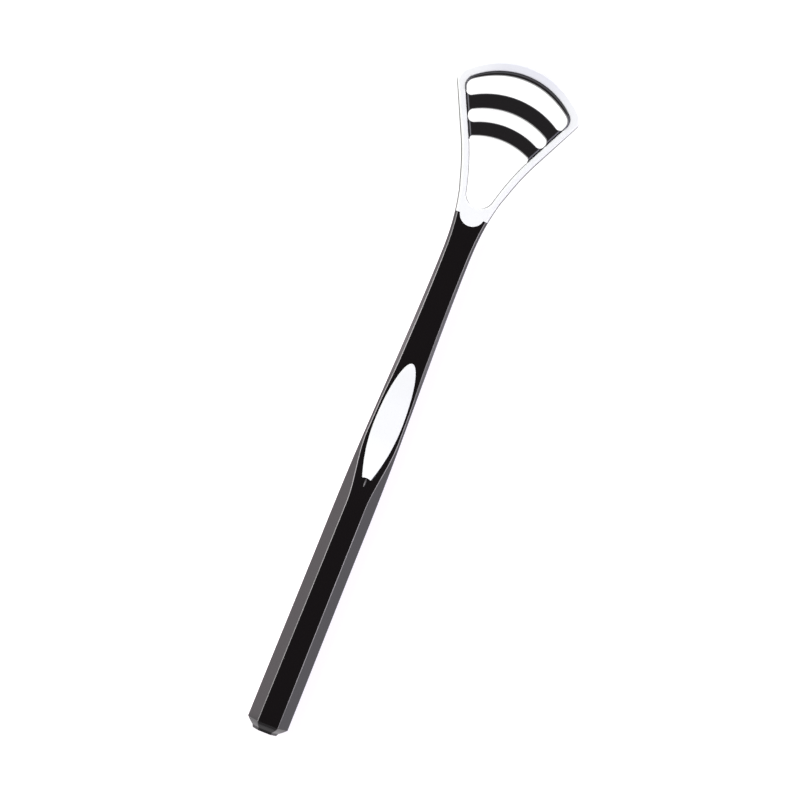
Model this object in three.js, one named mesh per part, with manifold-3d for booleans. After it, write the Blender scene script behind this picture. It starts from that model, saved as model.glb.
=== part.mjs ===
// Tongue scraper: a six-sided handle with a thumb inlay and a fan-shaped head with scraping strips.
// Millimetres. The scraper lies on its back: +Y runs from the butt of the handle to the tip of the head,
// +Z points out of the face with the thumb inlay, and z = 0 is the surface that the handle rests on.
import * as THREE from "three";
import { mergeVertices } from "three/addons/utils/BufferGeometryUtils.js";
import Module from "manifold-3d";

const wasm = await Module();
wasm.setup();

// Lengths along the scraper, one after another from the butt.
const BUTT_LAND = 0.8; // straight stub at the very end
const BUTT_CHAMFER = 2; // sloped stretch between the stub and the full section
const GRIP_LENGTH = 66; // from the butt to where the thumb scoop starts to fall
const SCOOP_RUN_IN = 20.5;
const SCOOP_FLOOR = 9.2;
const SCOOP_RUN_OUT = 14;
const NECK_LENGTH = 29.8; // from the end of the scoop to the waist
const WAIST_TO_HORNS = 11.5; // from the waist to the tips of the horns that clasp the head
const HEAD_LENGTH = 43.6; // from the horn tips to the tip of the head

// Handle section: a hexagon with corners left and right and a flat face at the front and the back.
const GRIP_WIDTH = 11.5; // across the corners at the butt
const STUB_WIDTH = 7.1; // across the corners of the stub at the very end
const SCOOP_WIDTH = 11.2; // across the corners where the scoop starts
const WAIST_WIDTH = 7.9;
const FACET_SLOPE = THREE.MathUtils.degToRad(60); // side facets against the front face
const EDGE_RADIUS = 0.4;
const BACK_FLAT_LENGTH = 90; // from the butt to where the back starts to rise
const SCOOP_FRONT = 1.1; // heights and depths from the plane of the side corners
const CREST_FRONT = 2.25;
const WAIST_BACK = 2.5;
const HEAD_FRONT = 1.2;
const HEAD_BACK = 1.8;

// Thumb inlay: a lens in plan that follows the floor of the scoop.
const INLAY_WIDTH = 7.84;
const INLAY_UPPER = 18.2; // from its widest place to the round tip nearest the head
const INLAY_LOWER = 15.2; // from its widest place to the cut end nearest the butt
const INLAY_CUT_WIDTH = 2.84; // width of the cut end
const INLAY_THICKNESS = 1.3;
const INLAY_SETBACK = 1.3; // widest place of the inlay towards the butt from the middle of the scoop floor
const INLAY_CROWN = 0.15; // rise of its middle above the edge
const PEG_RADIUS = 1;
const PEG_LENGTH = 1.2;
const PEG_SPACING = 14;
const NUB_WIDTH = 2.4; // drop-shaped bump on the handle that notches the lower tip of the inlay
const NUB_LENGTH = 4;
const NUB_HEIGHT = 0.5; // above the scoop
const NUB_SUNK = 0.5; // middle of its round form below the scoop
const NUB_OVERLAP = 0.7; // length of inlay that the bump takes away

// Head outline: a flare from the waist, straight rails and an arched top.
const FLARE_RADIUS = 72;
const FAN_ANGLE = THREE.MathUtils.degToRad(26); // straight rail against the length of the scraper
const RAIL_WIDTH = 2.1;
const ROOT_RADIUS = 4; // rounded bottom of the opening
const CROWN_RADIUS = 23.1; // outer edge of the arched top
const CROWN_CORNER = 3.2;
const RIM_WIDTH = 2.8; // frame above the opening, at the tip
const OPENING_CROWN_RADIUS = 21.3;
const OPENING_CORNER = 2.5;
const INNER_CHAMFER = 0.25; // eased edge round the opening
const CAMBER = 3.5; // rise of the tip towards the front

// Seat of the head in the handle.
const SADDLE_RADIUS = 3.5; // rounded root of the head between the horns
const SADDLE_DEPTH = 2.7; // from the horn tips to the bottom of the saddle
const TANG_WIDTH = 4.4;
const TANG_THICKNESS = 1.6;
const TANG_LENGTH = 30;
const TANG_DROP = 0.4; // middle of the tang behind the plane of the side corners
const ANCHOR_RADIUS = 1.1; // holes in the tang that the handle's pins pass through
const ANCHOR_SPACING = 10;

// Scraping strips in the opening.
const BLADE_RISE = 0.5; // crest of each strip above the front of the frame
const BLADE_BACK_GAP = 0.4; // back of each strip in from the back of the frame
const BLADE_CHAMFER = 0.3;
const BLADE_END_SLOPE = 0.8; // length over which a bar falls to the frame at its ends
const LIP_THICKNESS = 1.35; // at the tip of the head
const LIP_CHAMFER = 0.15;
const LIP_LEG_THICKNESS = 0.6; // where the lip runs down the rails
const FOOT_RADIUS = 1.2; // fillets between the bars and the rails
const TONGUE_DEPTH = 0.6;
const TONGUE_THICKNESS = 0.7;
const LINER_WIDTH = 0.45; // strip of each tongue that shows along the rail inside the opening
const CLEARANCE = 0.25; // gap between seated pieces

// Each bar: drop of its upper edge below the top of the opening, width, and the radii of its two edges.
const UPPER_BAR = { drop: 6.9, width: 4, upperRadius: 23.9, lowerRadius: 22.4 };
const LOWER_BAR = { drop: 15, width: 3.7, upperRadius: 21.3, lowerRadius: 20 };

const BLACK_PLASTIC = { color: 0x151315, roughness: 0.22, metalness: 0 };
const BLACK_RUBBER = { color: 0x1d1c1e, roughness: 0.4, metalness: 0 };
const WHITE_PLASTIC = { color: 0xf4f5fa, roughness: 0.3, metalness: 0 };

const yScoop = GRIP_LENGTH;
const yFloor = yScoop + SCOOP_RUN_IN;
const yRise = yFloor + SCOOP_FLOOR;
const yCrest = yRise + SCOOP_RUN_OUT;
const yWaist = yCrest + NECK_LENGTH;
const yHorns = yWaist + WAIST_TO_HORNS;
const yTip = yHorns + HEAD_LENGTH;
const gripDepth = (GRIP_WIDTH / 2) * Math.sin(FACET_SLOPE); // regular hexagon
const yInlay = yFloor + SCOOP_FLOOR / 2 - INLAY_SETBACK;

// How finely curved forms are divided.
const ROUND_FACETS = 32;
const EDGE_FACETS = 2;
const LENS_STEPS = 26;
const HANDLE_STEPS = { grip: 4, runIn: 10, floor: 2, runOut: 7, neck: 8, horns: 6 };
const OUTLINE_STEPS = { root: 9, flare: 8, rail: 6, corner: 5, crown: 12 };
const BAR_STEPS = { span: 7, foot: 5 };
const BEYOND = 20; // overshoot of cutters past the surface
const INLAY_TIP_ANGLE = 0.1; // where the round tip of the inlay is cut blunt

/** Curve through [position, value] stations that is level at each of them. */
function eased(stations) {
  return (at) => {
    const next = stations.findIndex(([position]) => position > at);
    if (next === 0) return stations[0][1];
    if (next < 0) return stations[stations.length - 1][1];
    const [from, low] = stations[next - 1];
    const [to, high] = stations[next];
    return low + (high - low) * THREE.MathUtils.smoothstep(at, from, to);
  };
}

const widthBelowWaist = eased([
  [0, GRIP_WIDTH / 2],
  [yScoop, SCOOP_WIDTH / 2],
  [yWaist, WAIST_WIDTH / 2],
]);

const frontHeight = eased([
  [0, gripDepth],
  [yScoop, gripDepth],
  [yFloor, SCOOP_FRONT],
  [yRise, SCOOP_FRONT],
  [yCrest, CREST_FRONT],
  [yHorns, HEAD_FRONT],
]);

const backDepth = eased([
  [0, gripDepth],
  [BACK_FLAT_LENGTH, gripDepth],
  [yWaist, WAIST_BACK],
  [yHorns, HEAD_BACK],
]);

/** Half the width of handle and root, with the flare of the head above the waist. */
function halfWidth(y) {
  if (y <= yWaist) return widthBelowWaist(y);
  const rise = y - yWaist;
  return WAIST_WIDTH / 2 + FLARE_RADIUS - Math.sqrt(FLARE_RADIUS ** 2 - rise ** 2);
}

/** Rise of the head's middle plane at a place along the scraper. */
function camber(y) {
  return CAMBER * Math.max(0, (y - yHorns) / HEAD_LENGTH) ** 2;
}

/** Evenly spaced values from one end to the other. */
function steps(from, to, count) {
  return Array.from({ length: count + 1 }, (_, i) => from + ((to - from) * i) / count);
}

/** Skin over rings of equal point count; the ends are capped unless the rings close into a loop. */
function loft(rings, closed = false) {
  const size = rings[0].length;
  const points = rings.flat();
  const index = [];
  const spans = closed ? rings.length : rings.length - 1;
  for (let r = 0; r < spans; r++) {
    const here = r * size;
    const there = ((r + 1) % rings.length) * size;
    for (let i = 0; i < size; i++) {
      const j = (i + 1) % size;
      index.push(here + i, here + j, there + j, here + i, there + j, there + i);
    }
  }
  if (!closed) {
    cap(rings[0], 0, true);
    cap(rings[rings.length - 1], (rings.length - 1) * size, false);
  }
  function cap(ring, first, reversed) {
    const middle = ring.reduce((sum, p) => sum.add(p), new THREE.Vector3()).divideScalar(size);
    const centre = points.push(middle) - 1;
    for (let i = 0; i < size; i++) {
      const j = (i + 1) % size;
      index.push(centre, first + (reversed ? j : i), first + (reversed ? i : j));
    }
  }
  const geometry = new THREE.BufferGeometry().setFromPoints(points);
  geometry.setIndex(index);
  return geometry;
}

/** Closed body for joining and cutting. */
function solid(geometry) {
  const bare = geometry.clone();
  bare.deleteAttribute("normal");
  bare.deleteAttribute("uv");
  const merged = mergeVertices(bare);
  const vertProperties = merged.attributes.position.array;
  const triVerts = Uint32Array.from(merged.index.array);
  return new wasm.Manifold(new wasm.Mesh({ numProp: 3, vertProperties, triVerts }));
}

/** Flat plate from an outline in plan, between two heights. */
function plate(shape, bottom, top) {
  const geometry = new THREE.ExtrudeGeometry(shape, {
    depth: top - bottom,
    bevelEnabled: false,
    curveSegments: ROUND_FACETS / 2,
  });
  return solid(geometry.translate(0, 0, bottom));
}

/** Upright round pin on the middle line, between two heights. */
function pin(radius, y, bottom, top) {
  const geometry = new THREE.CylinderGeometry(radius, radius, top - bottom, ROUND_FACETS);
  geometry.rotateX(Math.PI / 2).translate(0, y, (top + bottom) / 2);
  return solid(geometry);
}

/** Named mesh of a finished body. */
function piece(name, body, finish) {
  const { vertProperties, triVerts } = body.getMesh();
  const geometry = new THREE.BufferGeometry();
  geometry.setAttribute("position", new THREE.BufferAttribute(vertProperties, 3));
  geometry.setIndex(new THREE.BufferAttribute(triVerts, 1));
  geometry.computeVertexNormals();
  const mesh = new THREE.Mesh(geometry, new THREE.MeshStandardMaterial(finish));
  mesh.name = name;
  return mesh;
}

/** Hexagonal ring across the scraper with its corners eased. */
function hexRing(y, share = 1) {
  const side = halfWidth(y) * share;
  const front = frontHeight(y) * share;
  const back = backDepth(y) * share;
  const frontEdge = side - front / Math.tan(FACET_SLOPE);
  const backEdge = side - back / Math.tan(FACET_SLOPE);
  const corners = [
    [side, 0],
    [frontEdge, front],
    [-frontEdge, front],
    [-side, 0],
    [-backEdge, -back],
    [backEdge, -back],
  ].map(([x, z]) => new THREE.Vector2(x, z));
  const setback = EDGE_RADIUS * Math.tan(FACET_SLOPE / 2);
  const lift = camber(y);
  return corners.flatMap((corner, i) => {
    const before = corners[(i + 5) % 6].clone().sub(corner).setLength(setback).add(corner);
    const after = corners[(i + 1) % 6].clone().sub(corner).setLength(setback).add(corner);
    const turn = new THREE.QuadraticBezierCurve(before, corner, after);
    return turn.getPoints(EDGE_FACETS).map((p) => new THREE.Vector3(p.x, y, p.y + lift));
  });
}

/** Stretch of the handle's body through places along the scraper. */
function hexBody(places) {
  return solid(loft(places.map((y) => hexRing(y)).reverse()));
}

/** Points on an arc about a centre. */
function arc(x, y, radius, from, to, count) {
  return steps(from, to, count).map(
    (angle) => new THREE.Vector2(x + radius * Math.cos(angle), y + radius * Math.sin(angle)),
  );
}

/** Half outline of the head from the bottom of the opening to the tip, one array for each stretch. */
function headOutline(inset, crownRadius, crownTop, cornerRadius) {
  const flare = FLARE_RADIUS + inset;
  const flareX = WAIST_WIDTH / 2 + FLARE_RADIUS;
  const root = ROOT_RADIUS + RAIL_WIDTH - inset;
  const rootY = yWaist + Math.sqrt((flare + root) ** 2 - flareX ** 2);
  const touch = Math.atan2(rootY - yWaist, flareX);
  const crownY = crownTop - crownRadius;
  const along = new THREE.Vector2(Math.sin(FAN_ANGLE), Math.cos(FAN_ANGLE));
  const inward = new THREE.Vector2(-along.y, along.x);
  const railStart = new THREE.Vector2(
    flareX - flare * Math.cos(FAN_ANGLE),
    yWaist + flare * Math.sin(FAN_ANGLE),
  );
  const offset = inward.clone().multiplyScalar(cornerRadius).add(railStart);
  const toCrown = offset.clone().sub(new THREE.Vector2(0, crownY));
  const half = toCrown.dot(along);
  const reach = Math.sqrt(half ** 2 - toCrown.lengthSq() + (crownRadius - cornerRadius) ** 2) - half;
  const corner = along.clone().multiplyScalar(reach).add(offset);
  const railEnd = along.clone().multiplyScalar(reach).add(railStart);
  const crownAngle = Math.atan2(corner.y - crownY, corner.x);
  return {
    root: arc(0, rootY, root, -Math.PI / 2, -touch, OUTLINE_STEPS.root),
    flare: arc(flareX, yWaist, flare, Math.PI - touch, Math.PI - FAN_ANGLE, OUTLINE_STEPS.flare),
    rail: steps(0, 1, OUTLINE_STEPS.rail).map((t) => railStart.clone().lerp(railEnd, t)),
    corner: arc(corner.x, corner.y, cornerRadius, -FAN_ANGLE, crownAngle, OUTLINE_STEPS.corner),
    crown: arc(0, crownY, crownRadius, crownAngle, Math.PI / 2, OUTLINE_STEPS.crown),
  };
}

/** Whole outline from a half one, running up the right side and down the left. */
function bothSides(half) {
  const left = half.map((p) => new THREE.Vector2(-p.x, p.y)).reverse();
  return [...half, ...left];
}

/** One list from stretches that share their end points. */
function joined(stretches) {
  return stretches.flatMap((stretch, i) => (i ? stretch.slice(1) : stretch));
}

const openingTop = yTip - RIM_WIDTH;
const outer = headOutline(0, CROWN_RADIUS, yTip, CROWN_CORNER);
const opening = headOutline(RAIL_WIDTH, OPENING_CROWN_RADIUS, openingTop, OPENING_CORNER);

/** Frame of the head: one section carried round the opening. */
function fanRing() {
  const inside = joined(Object.values(opening));
  const outside = joined(Object.values(outer));
  const frontBevel = HEAD_FRONT / Math.tan(FACET_SLOPE);
  const backBevel = HEAD_BACK / Math.tan(FACET_SLOPE);
  const rings = inside.map((near, i) => {
    const across = outside[i].clone().sub(near);
    const width = across.length();
    const section = [
      [0, INNER_CHAMFER - HEAD_BACK],
      [0, HEAD_FRONT - INNER_CHAMFER],
      [INNER_CHAMFER, HEAD_FRONT],
      [width - frontBevel, HEAD_FRONT],
      [width, 0],
      [width - backBevel, -HEAD_BACK],
      [INNER_CHAMFER, -HEAD_BACK],
    ];
    return section.map(([out, z]) => {
      const p = across.clone().setLength(out).add(near);
      return new THREE.Vector3(p.x, p.y, z + camber(p.y));
    });
  });
  const mirrored = rings
    .slice(1, -1)
    .map((ring) => ring.map((p) => new THREE.Vector3(-p.x, p.y, p.z)))
    .reverse();
  return solid(loft([...rings, ...mirrored], true));
}

/** Tang below the head, grown by a clearance when it cuts its socket. */
function tang(grow) {
  const wide = TANG_WIDTH / 2 + grow;
  const from = yHorns - SADDLE_DEPTH - TANG_LENGTH - grow;
  const middle = from + wide;
  const shape = new THREE.Shape();
  shape.moveTo(wide, yHorns);
  shape.lineTo(-wide, yHorns);
  shape.lineTo(-wide, middle);
  shape.absarc(0, middle, wide, Math.PI, 2 * Math.PI, false);
  shape.closePath();
  const top = TANG_THICKNESS / 2 - TANG_DROP + grow;
  const bottom = -TANG_THICKNESS / 2 - TANG_DROP - grow;
  const anchors = [1, 2].map((i) =>
    pin(ANCHOR_RADIUS - grow, yHorns - SADDLE_DEPTH - i * ANCHOR_SPACING, -BEYOND, BEYOND),
  );
  return wasm.Manifold.difference([plate(shape, bottom, top), ...anchors]);
}

/** Path along the opening: each point with the outward direction there. */
function withOutward(points) {
  return points.map((at, i) => {
    const before = points[Math.max(i - 1, 0)];
    const after = points[Math.min(i + 1, points.length - 1)];
    const way = after.clone().sub(before).normalize();
    return { at, outward: new THREE.Vector2(way.y, -way.x) };
  });
}

/** Point off the path by a distance outwards, at a height above the head's middle plane. */
function offPath({ at, outward }, out, z) {
  const p = outward.clone().multiplyScalar(out).add(at);
  return new THREE.Vector3(p.x, p.y, z + camber(p.y));
}

/** Rib along a path, from inside the opening into the frame. */
function rib(path, from, to, thickness) {
  const rings = path.map((place) => [
    offPath(place, from, -thickness / 2),
    offPath(place, from, thickness / 2),
    offPath(place, to, thickness / 2),
    offPath(place, to, -thickness / 2),
  ]);
  return solid(loft(rings));
}

const bladeFront = HEAD_FRONT + BLADE_RISE;
const bladeBack = BLADE_BACK_GAP - HEAD_BACK;

/** Half the width of the opening at a place along its straight rail. */
function railX(y) {
  const low = opening.rail[0];
  const high = opening.rail[opening.rail.length - 1];
  return THREE.MathUtils.mapLinear(y, low.y, high.y, low.x, high.x);
}

/** Edge of a bar: an arc that turns up or down along the rail and ends where it meets it. */
function barEdge(top, radius, turn) {
  const arcY = (x) => top - radius + Math.sqrt(radius ** 2 - x ** 2);
  const slope = Math.tan(FAN_ANGLE);
  const level = railX(top - radius + turn * FOOT_RADIUS) - CLEARANCE / Math.cos(FAN_ANGLE);
  const stretch = 1 + slope ** 2;
  const end = (level + slope * Math.sqrt(stretch * radius ** 2 - level ** 2)) / stretch;
  const y = (x) => {
    const into = Math.max(0, Math.abs(x) - end + FOOT_RADIUS) / FOOT_RADIUS;
    return arcY(x) + turn * FOOT_RADIUS * (1 - Math.sqrt(Math.max(0, 1 - into ** 2)));
  };
  return { end, y };
}

/** Upper and lower edge of a bar. */
function barEdges(bar) {
  const top = openingTop - bar.drop;
  return {
    upper: barEdge(top, bar.upperRadius, 1),
    lower: barEdge(top - bar.width, bar.lowerRadius, -1),
  };
}

/** Straight rail of the opening between two places, right or left. */
function railPath(from, to, side) {
  const points = [from, to].map((y) => new THREE.Vector2(side * railX(y), y));
  return withOutward(side > 0 ? points : points.reverse());
}

/** Curved bar across the opening, with a tongue in the groove of each rail from a given place up. */
function scraperBar(bar, tongueStart) {
  const { upper, lower } = barEdges(bar);
  const footShare = FOOT_RADIUS / upper.end;
  const foot = steps(0, Math.PI / 2, BAR_STEPS.foot).map((angle) => 1 - footShare * Math.cos(angle));
  const half = joined([steps(0, 1 - footShare, BAR_STEPS.span), foot]);
  const shares = [...half.slice(1).reverse().map((u) => -u), ...half];
  const rings = shares.map((u) => {
    const above = new THREE.Vector2(u * upper.end, upper.y(u * upper.end));
    const below = new THREE.Vector2(u * lower.end, lower.y(u * lower.end));
    const fromEnd = (1 - Math.abs(u)) * upper.end;
    const front = bladeFront - BLADE_RISE * Math.max(0, 1 - fromEnd / BLADE_END_SLOPE);
    const down = below.clone().sub(above);
    const width = down.length();
    const section = [
      [0, bladeBack],
      [0, front - BLADE_CHAMFER],
      [BLADE_CHAMFER, front],
      [width - BLADE_CHAMFER, front],
      [width, front - BLADE_CHAMFER],
      [width, bladeBack],
    ];
    return section.map(([out, z]) => {
      const p = down.clone().setLength(out).add(above);
      return new THREE.Vector3(p.x, p.y, z + camber(p.y));
    });
  });
  const tongues = [1, -1].map((side) =>
    rib(railPath(tongueStart, upper.y(upper.end), side), -LINER_WIDTH, TONGUE_DEPTH, TONGUE_THICKNESS),
  );
  return wasm.Manifold.union([solid(loft(rings)), ...tongues]);
}

/** Path round the opening: up the right rail from a given place, over the top and down the left. */
function openingPath(from) {
  const start = new THREE.Vector2(railX(from), from);
  const rail = opening.rail.filter((p) => p.y > from + FOOT_RADIUS / 2);
  const half = joined([[start, ...rail], opening.corner, opening.crown]);
  return withOutward([...half, ...bothSides(half).slice(half.length + 1)]);
}

/** Crescent round the top of the opening: a ridge with its outer half sloped down to the frame. */
function scraperLip() {
  const { upper } = barEdges(UPPER_BAR);
  const path = openingPath(upper.y(upper.end) + CLEARANCE);
  const rings = path.map((place) => {
    const legShare = Math.min(1, Math.abs(place.at.x) / opening.crown[0].x);
    const thickness = THREE.MathUtils.lerp(LIP_THICKNESS, LIP_LEG_THICKNESS, legShare ** 2);
    return [
      offPath(place, -CLEARANCE - thickness, bladeBack),
      offPath(place, -CLEARANCE - thickness, bladeFront - LIP_CHAMFER),
      offPath(place, -CLEARANCE - thickness + LIP_CHAMFER, bladeFront),
      offPath(place, -CLEARANCE - thickness / 2, bladeFront),
      offPath(place, -CLEARANCE, HEAD_FRONT - INNER_CHAMFER),
      offPath(place, -CLEARANCE, bladeBack),
    ];
  });
  const tongue = rib(path, -LINER_WIDTH, TONGUE_DEPTH, TONGUE_THICKNESS);
  return wasm.Manifold.union([solid(loft(rings)), tongue]);
}

/** Groove round the opening that takes the tongues of lip and bars. */
function groove() {
  const { lower } = barEdges(LOWER_BAR);
  const path = openingPath(lower.y(lower.end) - CLEARANCE);
  return rib(path, -RAIL_WIDTH, TONGUE_DEPTH + CLEARANCE, TONGUE_THICKNESS + 2 * CLEARANCE);
}

/** Round of the head's root, grown by a clearance when it cuts its seat between the horns. */
function saddle(grow) {
  return pin(SADDLE_RADIUS + grow, yHorns - SADDLE_DEPTH + SADDLE_RADIUS, -BEYOND, BEYOND);
}

/** Head: fan ring, root between the horns and tang. */
function headFrame() {
  const ledge = yHorns + CLEARANCE;
  const rootTop = opening.root[opening.root.length - 1].y;
  const low = yHorns - SADDLE_DEPTH;
  const plug = hexBody(steps(low - CLEARANCE, ledge + CLEARANCE, 4)).intersect(saddle(0));
  const base = hexBody(steps(ledge, rootTop, 5));
  const midRail = headOutline(RAIL_WIDTH / 2, OPENING_CROWN_RADIUS, openingTop, OPENING_CORNER);
  const hole = new THREE.Shape(bothSides(joined(Object.values(midRail)).slice(1, -1)));
  const root = wasm.Manifold.union([plug, base]).subtract(plate(hole, -BEYOND, BEYOND));
  return wasm.Manifold.union([fanRing().subtract(groove()), root, tang(0)]);
}

/** Edge of the inlay at an angle: a half ellipse towards the head, a parabola towards the butt. */
function lensEdge(angle, grow) {
  const wide = INLAY_WIDTH / 2;
  const share = Math.cos(angle);
  if (share >= 0) {
    return { x: wide * Math.sin(angle) + grow, y: yInlay + (INLAY_UPPER + grow) * share };
  }
  const narrowing = (wide - INLAY_CUT_WIDTH / 2) * share ** 2;
  return { x: wide - narrowing + grow, y: yInlay + (INLAY_LOWER + grow) * share };
}

/** Lens in the scoop, or the pocket for it when grown by a clearance and raised past the surface. */
function lens(grow, rise) {
  const rings = steps(Math.PI, INLAY_TIP_ANGLE, LENS_STEPS).map((angle) => {
    const { x, y } = lensEdge(angle, grow);
    const floor = frontHeight(y) - INLAY_THICKNESS - grow;
    const edge = frontHeight(y) + rise;
    return [
      new THREE.Vector3(x, y, floor),
      new THREE.Vector3(-x, y, floor),
      new THREE.Vector3(-x, y, edge),
      new THREE.Vector3(-x / 2, y, edge + INLAY_CROWN),
      new THREE.Vector3(x / 2, y, edge + INLAY_CROWN),
      new THREE.Vector3(x, y, edge),
    ];
  });
  return solid(loft(rings));
}

/** Pegs under the inlay, or their holes when grown by a clearance. */
function pegs(grow) {
  return [-1, 1].map((end) => {
    const y = yInlay + (end * PEG_SPACING) / 2;
    const underside = frontHeight(y) - INLAY_THICKNESS;
    return pin(PEG_RADIUS + grow, y, underside - PEG_LENGTH - grow, underside + INLAY_THICKNESS / 2);
  });
}

/** Drop-shaped bump below the inlay, grown by a clearance when it notches the inlay. */
function nub(grow) {
  const y = yInlay - INLAY_LOWER + NUB_OVERLAP - NUB_LENGTH / 2;
  const geometry = new THREE.SphereGeometry(1, ROUND_FACETS / 2, ROUND_FACETS / 4);
  geometry.scale(NUB_WIDTH / 2 + grow, NUB_LENGTH / 2 + grow, NUB_HEIGHT + NUB_SUNK + grow);
  const fall = (frontHeight(y + 1) - frontHeight(y - 1)) / 2;
  geometry.rotateX(Math.atan(fall)).translate(0, y, frontHeight(y) - NUB_SUNK);
  return solid(geometry);
}

/** Six-sided handle with its chamfered butt, pocket, socket and saddle. */
function handle() {
  const full = BUTT_LAND + BUTT_CHAMFER;
  const places = joined([
    steps(full, yScoop, HANDLE_STEPS.grip),
    steps(yScoop, yFloor, HANDLE_STEPS.runIn),
    steps(yFloor, yRise, HANDLE_STEPS.floor),
    steps(yRise, yCrest, HANDLE_STEPS.runOut),
    steps(yCrest, yWaist, HANDLE_STEPS.neck),
    steps(yWaist, yHorns, HANDLE_STEPS.horns),
  ]);
  const butt = [0, BUTT_LAND].map((y) => hexRing(y, STUB_WIDTH / GRIP_WIDTH));
  const body = solid(loft([...butt, ...places.map((y) => hexRing(y))].reverse()));
  const cutters = [saddle(CLEARANCE), tang(CLEARANCE), lens(CLEARANCE, BEYOND), ...pegs(CLEARANCE)];
  return wasm.Manifold.difference([body, ...cutters]).add(nub(0));
}

/** White lens with its pegs and the notch for the bump on the handle. */
function thumbInlay() {
  const body = wasm.Manifold.union([lens(0, 0), ...pegs(0)]);
  return body.subtract(nub(CLEARANCE));
}

const lowerEdges = barEdges(LOWER_BAR);
const lowerTongue = lowerEdges.lower.y(lowerEdges.lower.end) + FOOT_RADIUS / 2;
const upperTongue = lowerEdges.upper.y(lowerEdges.upper.end) + CLEARANCE;

const grip = new THREE.Group();
grip.name = "grip";
grip.add(piece("handle", handle(), BLACK_PLASTIC));
grip.add(piece("thumb_inlay", thumbInlay(), WHITE_PLASTIC));

const head = new THREE.Group();
head.name = "head";
head.add(piece("head_frame", headFrame(), WHITE_PLASTIC));
head.add(piece("scraper_lip", scraperLip(), BLACK_RUBBER));
head.add(piece("upper_scraper_bar", scraperBar(UPPER_BAR, upperTongue), BLACK_RUBBER));
head.add(piece("lower_scraper_bar", scraperBar(LOWER_BAR, lowerTongue), BLACK_RUBBER));

// The origin lies at the middle of the length, on the plane that the back of the grip rests on.
const group = new THREE.Group();
group.name = "tongue_scraper";
group.add(grip, head);
group.position.set(0, -yTip / 2, gripDepth);

export default group;
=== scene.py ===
"""Looks of a tongue scraper: a six-sided handle, a thumb inlay and a fan-shaped head with scraping strips."""

import logging
import math
from collections.abc import Callable, Sequence
from dataclasses import dataclass, field
from enum import Enum

import bmesh
import bpy
from mathutils import Matrix, Vector


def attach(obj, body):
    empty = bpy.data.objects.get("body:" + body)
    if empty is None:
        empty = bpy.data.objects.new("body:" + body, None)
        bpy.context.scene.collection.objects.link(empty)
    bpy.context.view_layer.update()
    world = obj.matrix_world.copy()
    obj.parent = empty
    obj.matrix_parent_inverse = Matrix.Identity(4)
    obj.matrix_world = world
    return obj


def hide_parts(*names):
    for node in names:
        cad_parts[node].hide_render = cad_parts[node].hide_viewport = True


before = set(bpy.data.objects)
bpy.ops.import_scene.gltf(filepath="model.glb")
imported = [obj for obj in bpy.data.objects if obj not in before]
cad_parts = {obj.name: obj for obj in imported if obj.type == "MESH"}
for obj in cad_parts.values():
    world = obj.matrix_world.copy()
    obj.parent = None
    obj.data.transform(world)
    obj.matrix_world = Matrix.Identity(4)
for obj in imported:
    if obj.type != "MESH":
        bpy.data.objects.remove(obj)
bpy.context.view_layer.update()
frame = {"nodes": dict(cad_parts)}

LOG = logging.getLogger("tongue_scraper")
MM = 0.001
BODY = "root"

# Least distance between two stations that is divided by.
SHORTEST = 1e-9
# Most of a side that a round takes up, and most of a straight that its border takes up.
ROUND_SHARE = 0.45
BORDER_SHARE = 0.3

Profile = Callable[[float], float]
Colour = tuple[float, float, float]
Ring = list[Vector]
RailPath = list[tuple[Vector, Vector]]
Stations = Sequence[tuple[float, float]]


class Slot(Enum):
    """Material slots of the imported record."""

    BLACK_PLASTIC = "black_plastic"
    WHITE_PLASTIC = "white_plastic"
    BLACK_RUBBER = "black_rubber"


class Side(Enum):
    """Left or right of the middle line, seen from the front with the head up."""

    LEFT = -1
    RIGHT = 1


class Fit(Enum):
    """What a tool does to the body that it meets."""

    CUT = "DIFFERENCE"
    UNITE = "UNION"


class CapStyle(Enum):
    """How the ends of a skin are closed: one flat face, or a flat face with a narrow border."""

    PLAIN = "plain"
    BORDERED = "bordered"


def steps(start: float, stop: float, count: int) -> list[float]:
    """Spaces values evenly.

    Args:
        start: First value.
        stop: Last value.
        count: Number of intervals.

    Returns:
        The values, both ends among them.
    """
    return [start + (stop - start) * i / count for i in range(count + 1)]


def joined(stretches: Sequence[list]) -> list:
    """Joins stretches that share their end points.

    Args:
        stretches: Lists of values or points, each starting where the last one ended.

    Returns:
        One list without the doubled points.
    """
    whole = list(stretches[0])
    for stretch in stretches[1:]:
        whole.extend(stretch[1:])
    return whole


def curve(stations: Stations, shape: Profile) -> Profile:
    """Makes a curve through stations.

    Args:
        stations: Pairs of place and value, in order.
        shape: Course from 0 to 1 between two stations.

    Returns:
        A function from place to value, level outside the stations.
    """

    def value(at: float) -> float:
        """Value of the curve.

        Args:
            at: Place on the curve.

        Returns:
            The value there.
        """
        if at <= stations[0][0]:
            return stations[0][1]
        for (start, low), (stop, high) in zip(stations, stations[1:]):
            if at <= stop:
                return low + (high - low) * shape((at - start) / max(stop - start, SHORTEST))
        return stations[-1][1]

    return value


def eased(stations: Stations) -> Profile:
    """Curve that is level at each of its stations."""
    return curve(stations, lambda share: share * share * (3 - 2 * share))


def straight(stations: Stations) -> Profile:
    """Curve of straight lines between its stations."""
    return curve(stations, lambda share: share)


@dataclass(frozen=True)
class Corner:
    """Corner of an outline: its place, its rounding radius, its painted highlight and that of the straight
    after it.
    """

    x: float
    y: float
    radius: float
    wear: float = 0.0
    after: float = 0.0

    @property
    def at(self) -> Vector:
        """Place of the corner."""
        return Vector((self.x, self.y))


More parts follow.
